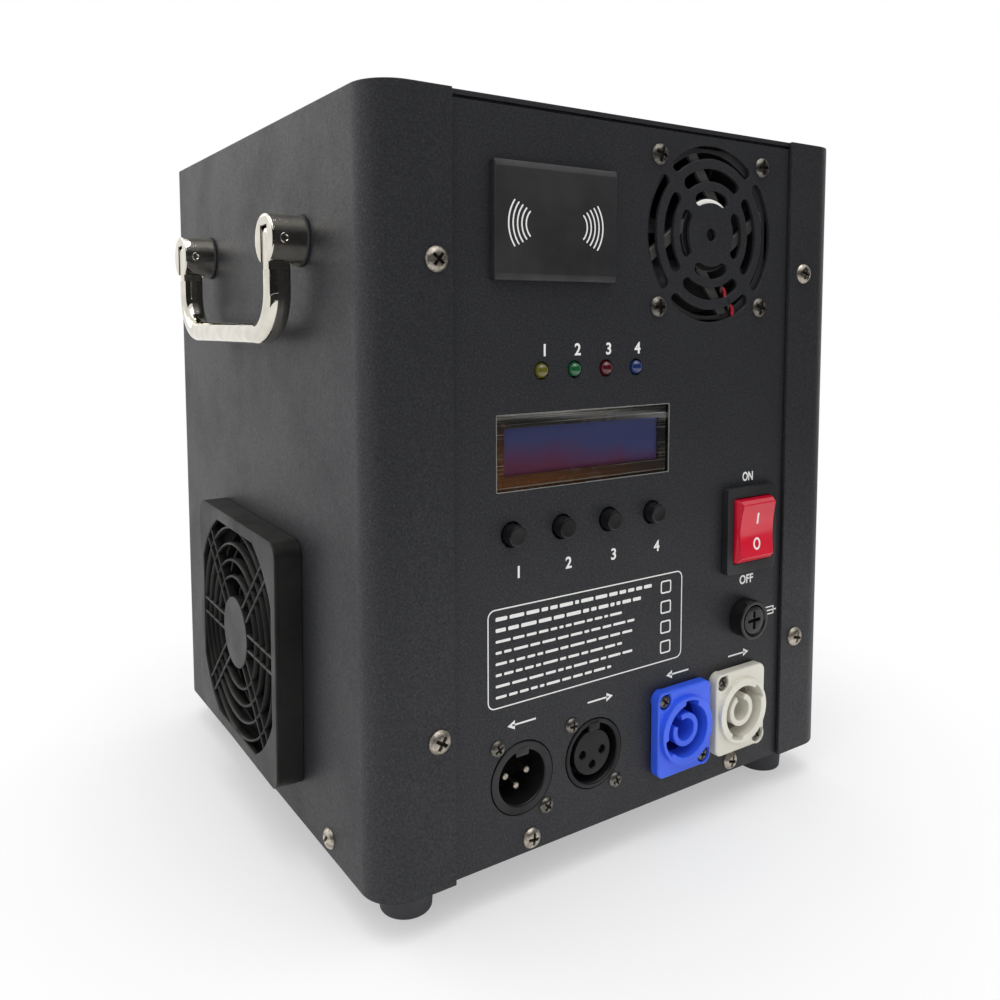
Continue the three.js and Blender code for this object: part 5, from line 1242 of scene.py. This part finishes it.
class SPARK_OT_signal(Made, bpy.types.Operator):
    """Two three-pole signal sockets: one with pins in a cup, one with holes in a round insert"""

    bl_idname = "spark.signal"
    bl_label = "Signal sockets"

    def execute(self, context):
        z, square = SOCKET_Z, rounded(0, 0, *SOCKET_SIZE, 6)
        out, insert_radius = 4.2, 7.8
        poles = [(out, 0), (-out, 0), (0, -out)]
        for name, x, cup, floor in (("in", SIGNAL_IN, 8.9, 15), ("out", SIGNAL_OUT, 10.1, 8.5)):
            holes = [circle(0, 0, 11.2, 64), *(circle(*at, 1.6, 20) for at in SOCKET_SCREWS)]
            flange = moved(slab(square, holes, BEHIND, 5, "y", 0.15), x, 0, z)
            tube = soften([(cup, floor), (cup, 1.9), (cup + 0.5, 1.5), (11.8, 1.5), (11.8, 5),
                           (11.3, 5), (11.3, 24.4), (0, 24.4), (0, floor), (cup, floor)], 0.3)
            shapes = [(flange, "black_plastic"),
                      (lathe(tube, (x, 0, z), "y", 72), "black_plastic")]
            if name == "in":
                pin = soften([(0, 5), (1.2, 5), (1.2, 15.2), (0, 15.2)], 0.7)
                shapes += [(lathe(pin, (x + a, 0, z + b), "y", 20), "nickel") for a, b in poles]
                key = pad(x, z + 8.9, 5, 3.4, 0.5, [(0.5, 1.45), (0, 1.7), (0, 4.4), (0.6, 4.6)])
            else:
                holes = [circle(a, b, 1.4, 24) for a, b in poles]
                insert = slab(circle(0, 0, insert_radius, 64), holes, 2.5, 5, "y", 0.3)
                shapes.append((moved(insert, x, 0, z), "black_plastic"))
                shapes.append((rod(x, z, 4.8, 8.6, insert_radius, 56), "black_plastic"))
                # Near-black rods in the insert's pin holes: painted shade.
                shapes += [(rod(x + a, z + b, 3.9, 4.9, 1.25, 20), "recess") for a, b in poles]
                key = pad(x, z + 9.6, 4.6, 3, 0.4, [(0.5, 1.3), (0, 1.5), (0, 4), (0.4, 4.2)])
            shapes.append((key, "black_plastic"))
            shapes += [(rod(x + a, z - 4, 24, 28.6, 0.9, 16), "brass") for a in (-3.6, 0, 3.6)]
            piece(f"signal_{name}", shapes, cad=f"dmx_{name}_socket",
                  flat=True)
        return {"FINISHED"}


class SPARK_OT_power(Made, bpy.types.Operator):
    """Two locking mains sockets: flange, ring, cup with keys and a slotted post"""

    bl_idname = "spark.power"
    bl_label = "Mains sockets"

    def execute(self, context):
        z, square = SOCKET_Z, rounded(0, 0, *SOCKET_SIZE, 8)
        cup, keyway, ring, post_out, post_in, contacts = 9.5, 10.9, 12.2, 6.1, 4, 7.8
        for name, x, finish, keys, gap in (
            ("in", POWER_IN, "blue_plastic", (80, 205), 135),
            ("out", POWER_OUT, "ivory_plastic", (35, 250), 95),
        ):
            holes = [circle(0, 0, 11.4, 72), *(circle(*at, 2.75, 32) for at in SOCKET_SCREWS)]
            turn = np.arange(0, 360, 3.0)
            mouth = np.full(len(turn), cup)
            for key in keys:
                mouth[np.abs((turn - key + 180) % 360 - 180) < 17.5] = keyway
            mouth = arc(0, 0, mouth, 0, 357, 120)
            outer, inner = (arc(0, 0, r, gap + 21, gap + 339, 60) for r in (post_out, post_in))
            shapes = [(moved(shape, x, 0, z), finish) for shape in (
                slab(square, holes, -2.6, 1.5, "y", 0.7, 4),
                slab(circle(0, 0, ring, 96), [mouth], -4.4, 3.0, "y", 0.35, 3),
            )]
            tube = soften([(cup, 20), (cup, 3.2), (cup, 2.6), (11.7, 2.6), (11.7, 25.7), (0, 25.7),
                           (0, 20), (cup, 20)], 0.3)
            # The cup's inside takes the darker copy of the moulding: painted shade.
            shapes.append((lathe(tube, (x, 0, z), "y", 96), f"deep_{name}"))
            post = slab(np.r_[outer, inner[::-1]], [], -3.0, 20.1, "y", 0.3)
            shapes.append((moved(post, x, 0, z), finish))
            shapes.append((rod(x, z, 12, 20.1, 3.2, 32), "gloss_black"))
            shapes += [(rod(*at, 13, 20.1, 1.0, 16), "brass")
                       for at in arc(x, z, contacts, 90, 330, 3)]
            shapes += [(rod(x + a, z + b, POWER_FACE, 1.4, 2.9, 24), finish)
                       for a, b in SOCKET_SCREWS]
            shapes += [(tab(x + a, z, 25, 32), "brass") for a in (-7, 0, 7)]
            piece(f"mains_{name}", shapes, cad=f"power_{name}_socket",
                  flat=True)
        return {"FINISHED"}


class SPARK_OT_outlet(Made, bpy.types.Operator):
    """The spark outlet tube with its flange and flared mouth"""

    bl_idname = "spark.outlet"
    bl_label = "Spark outlet"

    def execute(self, context):
        profile = soften([(22.4, 141.2), (22.4, TOP - 0.6), (24.4, TOP + 2.6), (32, TOP + 2.6),
                          (32, TOP + 0.2), (24, TOP + 0.2), (24, 141.2), (22.4, 141.2)], 0.6)
        piece("outlet_tube", [(lathe(profile, (OUTLET, DRIVE_Y, 0), "z", 96), "tube_steel")],
              cad="nozzle_tube")
        for name, finish in (
            ("heating_barrel", "tube_steel"), ("ceramic_sleeve", "ceramic"),
            ("induction_coil", "copper"), ("feed_screw", "steel"), ("feed_motor", "aluminium"),
            ("blower_housing", "fan_plastic"), ("blower_impeller", "aluminium"),
        ):
            finish_node(name, finish)
        return {"FINISHED"}


class SPARK_OT_hopper(Made, bpy.types.Operator):
    """The powder hopper, its seal, and its lid with fluted grip: r (1 - 0.06 max(0, cos 10 t)^4)"""

    bl_idname = "spark.hopper"
    bl_label = "Powder hopper"

    def execute(self, context):
        centre = (HOPPER, DRIVE_Y, 0)
        profile = soften([(7.4, 145.1), (7.4, 155.6), (32.4, 197.6), (32.4, TOP + 2), (38, TOP + 2),
                          (38, TOP + 0.2), (34, TOP + 0.2), (34, 197), (9, 154.6), (9, 145.1),
                          (7.4, 145.1)], 0.5)
        piece("hopper_bin", [(lathe(profile, centre, "z", 96), "steel")], cad="hopper")
        seal = soften([(32.8, TOP + 2.8), (32.8, TOP + 2.3), (36, TOP + 2.3), (36, TOP + 3.4),
                       (32.8, TOP + 3.4), (32.8, TOP + 2.8)], 0.5)
        piece("hopper_ring", [(lathe(seal, centre, "z", 96), "red_rubber")], cad="hopper_seal")
        rows = soften([(0, TOP - 4), (32.1, TOP - 4), (32.1, TOP + 3.7), (37, TOP + 3.7),
                       (37, TOP + 10.7), (0, TOP + 10.7)], 0.9, 4)
        t = np.arange(160) * TAU / 160
        wave = 0.06 * np.clip(np.cos(10 * t), 0, 1) ** 4
        grip = ((rows[:, 1] > TOP + 3.6) & (rows[:, 0] > 20))[:, None]
        r = rows[:, :1] * (1 - wave * grip)
        lid = grid(axes(r * np.cos(t), r * np.sin(t), rows[:, 1:], "z") + centre, around=True)
        piece("hopper_cap", [(lid, "black_plastic")], body="lid", cad="hopper_lid")
        return {"FINISHED"}


class SPARK_OT_electronics(Made, bpy.types.Operator):
    """Finishes for the supply and the boards"""

    bl_idname = "spark.electronics"
    bl_label = "Electronics"

    def execute(self, context):
        finish_node("power_supply", "aluminium")
        for name in ("main_board", "control_board", "receiver_board"):
            finish_node(name, "board")
        return {"FINISHED"}


class SPARK_OT_screws(Made, bpy.types.Operator):
    """Cross-recessed screws on the flanges, the panel's foot, the fan, the sockets and the side"""

    bl_idname = "spark.screws"
    bl_label = "Screws"

    def execute(self, context):
        r = context.scene.machine_sizes.screw_radius
        shapes = []
        flange_z, foot_x, foot_z, out = (46.5, 188.3), (55.2, 148.0), 4.6, 25.45
        for x, turn in ((20.3, 30), (181.7, 12)):
            for z in flange_z:
                shapes += screw(x, z, 0, r, turn=turn + z / 20)
        for x in foot_x:
            shapes += screw(x, foot_z, PANEL, r * 0.9, turn=x / 9)
        x, z = FAN_FRONT
        for a in (-1, 1):
            for b in (-1, 1):
                shapes += screw(x + a * out, z + b * out, PANEL, r * 0.95, turn=8 - 9 * a * b,
                                finish="dark_nickel", reach=0.72, wide=0.19)
        for x, y in ((SIGNAL_IN, PANEL), (SIGNAL_OUT, PANEL), (POWER_IN, POWER_FACE),
                     (POWER_OUT, POWER_FACE)):
            for a, b in SOCKET_SCREWS:
                shapes += screw(x + a, SOCKET_Z + b, y, 2.65, turn=x + b, finish="dark_nickel")
        for plane, side in ((0, -1), (SIZE[0], 1)):
            shapes += screw(plane, 6.0, 35.3, r * 0.9, (side, 0, 0), 40)
        piece("case_screws", shapes)
        return {"FINISHED"}


class SPARK_OT_print(Made, bpy.types.Operator):
    """White print: numerals by the lamps and buttons, ON and OFF, arrows by the sockets, a fuse
    sign, radio arcs, a frame with plain bars and empty boxes, and faint rings of the studs"""

    bl_idname = "spark.print"
    bl_label = "Print"

    def signs(self):
        """Outlines, each with its holes, of the arrows by the sockets and of the fuse sign."""
        out = []
        for x, z, tip in ((52.2, 43.9, -1), (82.8, 43.8, 1), (120.6, 45, -1), (150.7, 45.2, 1)):
            back, half = x + tip * 3.6, tip * 1.5
            out += [(rectangle(x - 4.6, z - 0.28, x + 4.6, z + 0.28), []),
                    (np.array([(x + tip * 6.4, z), (back, z + half), (back, z - half)]), [])]
        x, z = 168.4, 58.9
        return out + [
            (rounded(x, z, 5.6, 3.2, 0.3, 3), [rounded(x, z, 4.7, 2.3, 0.2, 3)]),
            (rectangle(x - 4.2, z - 0.25, x + 4.2, z + 0.25), []),
        ]

    def notice(self):
        """Outlines, each with its holes, of a frame, rows of plain bars and four empty boxes."""
        left, middle, pitch = 41.4, (79.9, 66.4), 3.55
        out = [(rounded(*middle, 83, 31.7, 2.6, 6), [rounded(*middle, 82.2, 30.9, 2.2, 6)])]
        rng = np.random.default_rng(7)
        for i, reach in enumerate((62, 58, 50, 56, 54, 50, 57, 46)):
            x, z = left, middle[1] + 12.6 - pitch * i
            tall = 1.2 if i < 2 else 0.85
            while x < left + reach:
                wide = rng.uniform(1.6, 6.0)
                out.append((rounded(x + wide / 2, z, wide, tall, 0.3, 3), []))
                x += wide + 0.9
        for i in range(4):
            at = (middle[0] + 33.6, middle[1] + 11 - 7.2 * i)
            out.append((rounded(*at, 5, 4.6, 0.8, 4), [rounded(*at, 4, 3.6, 0.5, 4)]))
        return out

    def execute(self, context):
        sizes = context.scene.machine_sizes
        tall, thick = sizes.lettering, sizes.print_thickness
        numerals = ((161.4, (60, 73.2, 86.2, 98.9)), (92.5, (50.1, 69.9, 89.1, 108.8)))
        shapes = [label(str(i + 1), x, z, tall, thick)
                  for z, row in numerals for i, x in enumerate(row)]
        shapes += [label("ON", 154.9, 112.5, tall * 0.87, thick, 0.8),
                   label("OFF", 155.2, 73.3, tall * 0.87, thick, 0.93)]
        low, high = PANEL - thick, PANEL + 0.02
        shapes += [slab(*outline, low, high, "y", 0) for outline in self.signs() + self.notice()]
        x, z = REMOTE[0] - 0.8, 199.8
        for side, middle in ((1, 0), (-1, 180)):
            for i in range(5):
                outline = arc_slot(x + side * 6.6, z, 5.2 + 1.6 * i, 0.5, middle, 44 - 2.1 * i, 14)
                shapes.append(slab(outline, [], -1.5 - thick, -1.48, "y", 0))
        piece("front_print", [(s, "white_print") for s in shapes], flat=True)
        marks = []
        for x, z in ((34.8, 200.8), (130.1, 160.3), (130.9, 58.4), (34.2, 57.3)):
            ring = [arc(x, z, r, 30, 390, 7)[:-1] for r in (3.1, 2.85)]
            marks.append(slab(ring[0], [ring[1]], PANEL - 0.02, high, "y", 0))
        piece("stud_marks", [(s, "ghost_print") for s in marks])
        return {"FINISHED"}


# Studio


class SPARK_OT_studio(Made, bpy.types.Operator):
    """Camera, a floor that fades to white, soft lights, a black flag that only reflections see, and
    a white world"""

    bl_idname = "spark.studio"
    bl_label = "Studio"

    def camera(self, scene):
        """The camera, its axes turned by yaw, pitch and roll."""
        yaw, pitch, roll = (math.radians(a) for a in (33.4767, -4.5719, -0.1375))
        ahead = np.array((math.sin(yaw) * math.cos(pitch), math.cos(yaw) * math.cos(pitch),
                          math.sin(pitch)))
        level = np.array((math.cos(yaw), -math.sin(yaw), 0))
        over = np.cross(level, ahead)
        right = level * math.cos(roll) + over * math.sin(roll)
        up = over * math.cos(roll) - level * math.sin(roll)
        lens = bpy.data.cameras.new("camera")
        lens.sensor_width, lens.lens = 36, 32.496
        lens.shift_x, lens.shift_y = 0.009317, -0.10748
        camera = bpy.data.objects.new("camera", lens)
        place = Matrix(np.column_stack([right, up, -ahead])).to_4x4()
        place.translation = (-0.210299, -0.321414, 0.183914)
        camera.matrix_world = place
        scene.collection.objects.link(camera)
        scene.camera = camera

    def surroundings(self, scene):
        """A world that is white where it is seen and a little weaker as light."""
        world = bpy.data.worlds.new("studio")
        scene.world = world
        world.use_nodes = True
        n = Nodes(world.node_tree)
        strength = n.maths("MULTIPLY_ADD", n.seen(), 0.15, 0.85)
        sky = n.add("ShaderNodeBackground", {0: (1, 1, 1, 1), 1: strength})
        n.add("ShaderNodeOutputWorld", {0: sky.outputs[0]})

    def floor(self, context):
        """A pale floor that turns white away from the middle for rays that see it."""
        bpy.ops.mesh.primitive_plane_add(size=14, location=(0, 0, 0))
        floor = context.active_object
        floor.name = "floor"
        matt = bpy.data.materials.new("floor")
        matt.use_nodes = True
        n = Nodes(matt.node_tree)
        where = n.add("ShaderNodeTexCoord").outputs["Object"]
        away = n.add("ShaderNodeVectorMath", {0: where}, operation="LENGTH").outputs["Value"]
        mottle = n.noise(where, 7.0, 4.0)
        shader = n.add("ShaderNodeBsdfPrincipled", {
            "Base Color": n.blend(mottle, (0.93, 0.93, 0.93, 1), (0.96, 0.96, 0.96, 1)),
            "Roughness": 0.9, "Specular IOR Level": 0.1})
        near, far = 0.16, 0.5  # metres from the middle, where the fade starts and ends
        white = n.times(n.seen(), n.span(away, near, far, 0.4, 1.0))
        both = n.add("ShaderNodeMixShader", {
            0: white, 1: shader.outputs[0],
            2: n.add("ShaderNodeEmission", {0: (1, 1, 1, 1), 1: 1.0}).outputs[0]})
        n.add("ShaderNodeOutputMaterial", {0: both.outputs[0]})
        floor.data.materials.append(matt)

    def lamp(self, scene, name, place, aim, size, power, colour=(1, 1, 1)):
        """A square lamp that looks at a point."""
        light = bpy.data.lights.new(name, "AREA")
        light.shape, light.size, light.energy, light.color = "SQUARE", size, power, colour
        made = bpy.data.objects.new(name, light)
        towards = Vector(np.array(aim) - place)
        look = towards.to_track_quat("-Z", "Y").to_matrix().to_4x4()
        look.translation = place
        made.matrix_world = look
        scene.collection.objects.link(made)

    def flag(self):
        """A black wall and mat that only reflections see."""
        def bent(start, rows):
            """Rows (r, h) in metres carried round the middle, (r cos t, r sin t, h)."""
            t = np.radians(np.linspace(start, 348, 31))[:, None]
            r, h = np.array(rows).T
            return grid(axes(r * np.cos(t), r * np.sin(t), h, "z") * 1000 - CORNER), "flag_cloth"

        flag = piece("black_flag", [
            bent(194, [(1.25, 1.1), (1.3, 0.8), (1.3, 0.4), (1.3, 0.03)]),
            bent(200, [(1.3, 0.02), (0.45, 0.02)]),
        ], body=None)
        flag.visible_camera = flag.visible_diffuse = flag.visible_shadow = False

    def execute(self, context):
        scene = context.scene
        scene.view_settings.view_transform = "Standard"
        self.camera(scene)
        self.surroundings(scene)
        self.floor(context)
        self.lamp(scene, "left_softbox", (-0.8, 1.0, 0.8), (0, 0, 0.12), 0.9, 2.2, (1, 0.98, 0.94))
        self.lamp(scene, "top_softbox", (-0.1, -0.2, 1.5), (0, 0, 0.1), 1.2, 9)
        self.flag()
        return {"FINISHED"}


OPERATORS = (
    SPARK_OT_studio, SPARK_OT_case, SPARK_OT_top, SPARK_OT_panel, SPARK_OT_feet, SPARK_OT_handles,
    SPARK_OT_guard, SPARK_OT_fans, SPARK_OT_remote, SPARK_OT_display, SPARK_OT_lamps,
    SPARK_OT_buttons, SPARK_OT_switch, SPARK_OT_fuse, SPARK_OT_signal, SPARK_OT_power,
    SPARK_OT_outlet, SPARK_OT_hopper, SPARK_OT_electronics, SPARK_OT_screws, SPARK_OT_print,
)


class SPARK_PT_panel(bpy.types.Panel):
    """Lists the machine's sizes, colours and operators"""

    bl_label = "Spark Machine"
    bl_space_type = "VIEW_3D"
    bl_region_type = "UI"
    bl_category = "Spark Machine"

    def draw(self, context):
        for title, values in (("Sizes", context.scene.machine_sizes),
                              ("Colours", context.scene.machine_colours)):
            box = self.layout.box()
            box.label(text=title)
            for key in values.bl_rna.properties.keys():
                if key not in ("rna_type", "name"):
                    box.prop(values, key)
        column = self.layout.column(align=True)
        for operator in OPERATORS:
            column.operator(operator.bl_idname)


CLASSES = (MachineSizes, MachineColours, *OPERATORS, SPARK_PT_panel)


def register():
    for made in CLASSES:
        bpy.utils.register_class(made)
    bpy.types.Scene.machine_sizes = bpy.props.PointerProperty(type=MachineSizes)
    bpy.types.Scene.machine_colours = bpy.props.PointerProperty(type=MachineColours)


def unregister():
    del bpy.types.Scene.machine_sizes
    del bpy.types.Scene.machine_colours
    for made in reversed(CLASSES):
        bpy.utils.unregister_class(made)


def main():
    """Registers the add-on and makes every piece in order."""
    register()
    for operator in OPERATORS:
        area, name = operator.bl_idname.split(".")
        if getattr(getattr(bpy.ops, area), name)() != {"FINISHED"}:
            raise RuntimeError(f"{operator.bl_idname} made nothing")


if __name__ == "__main__":
    main()
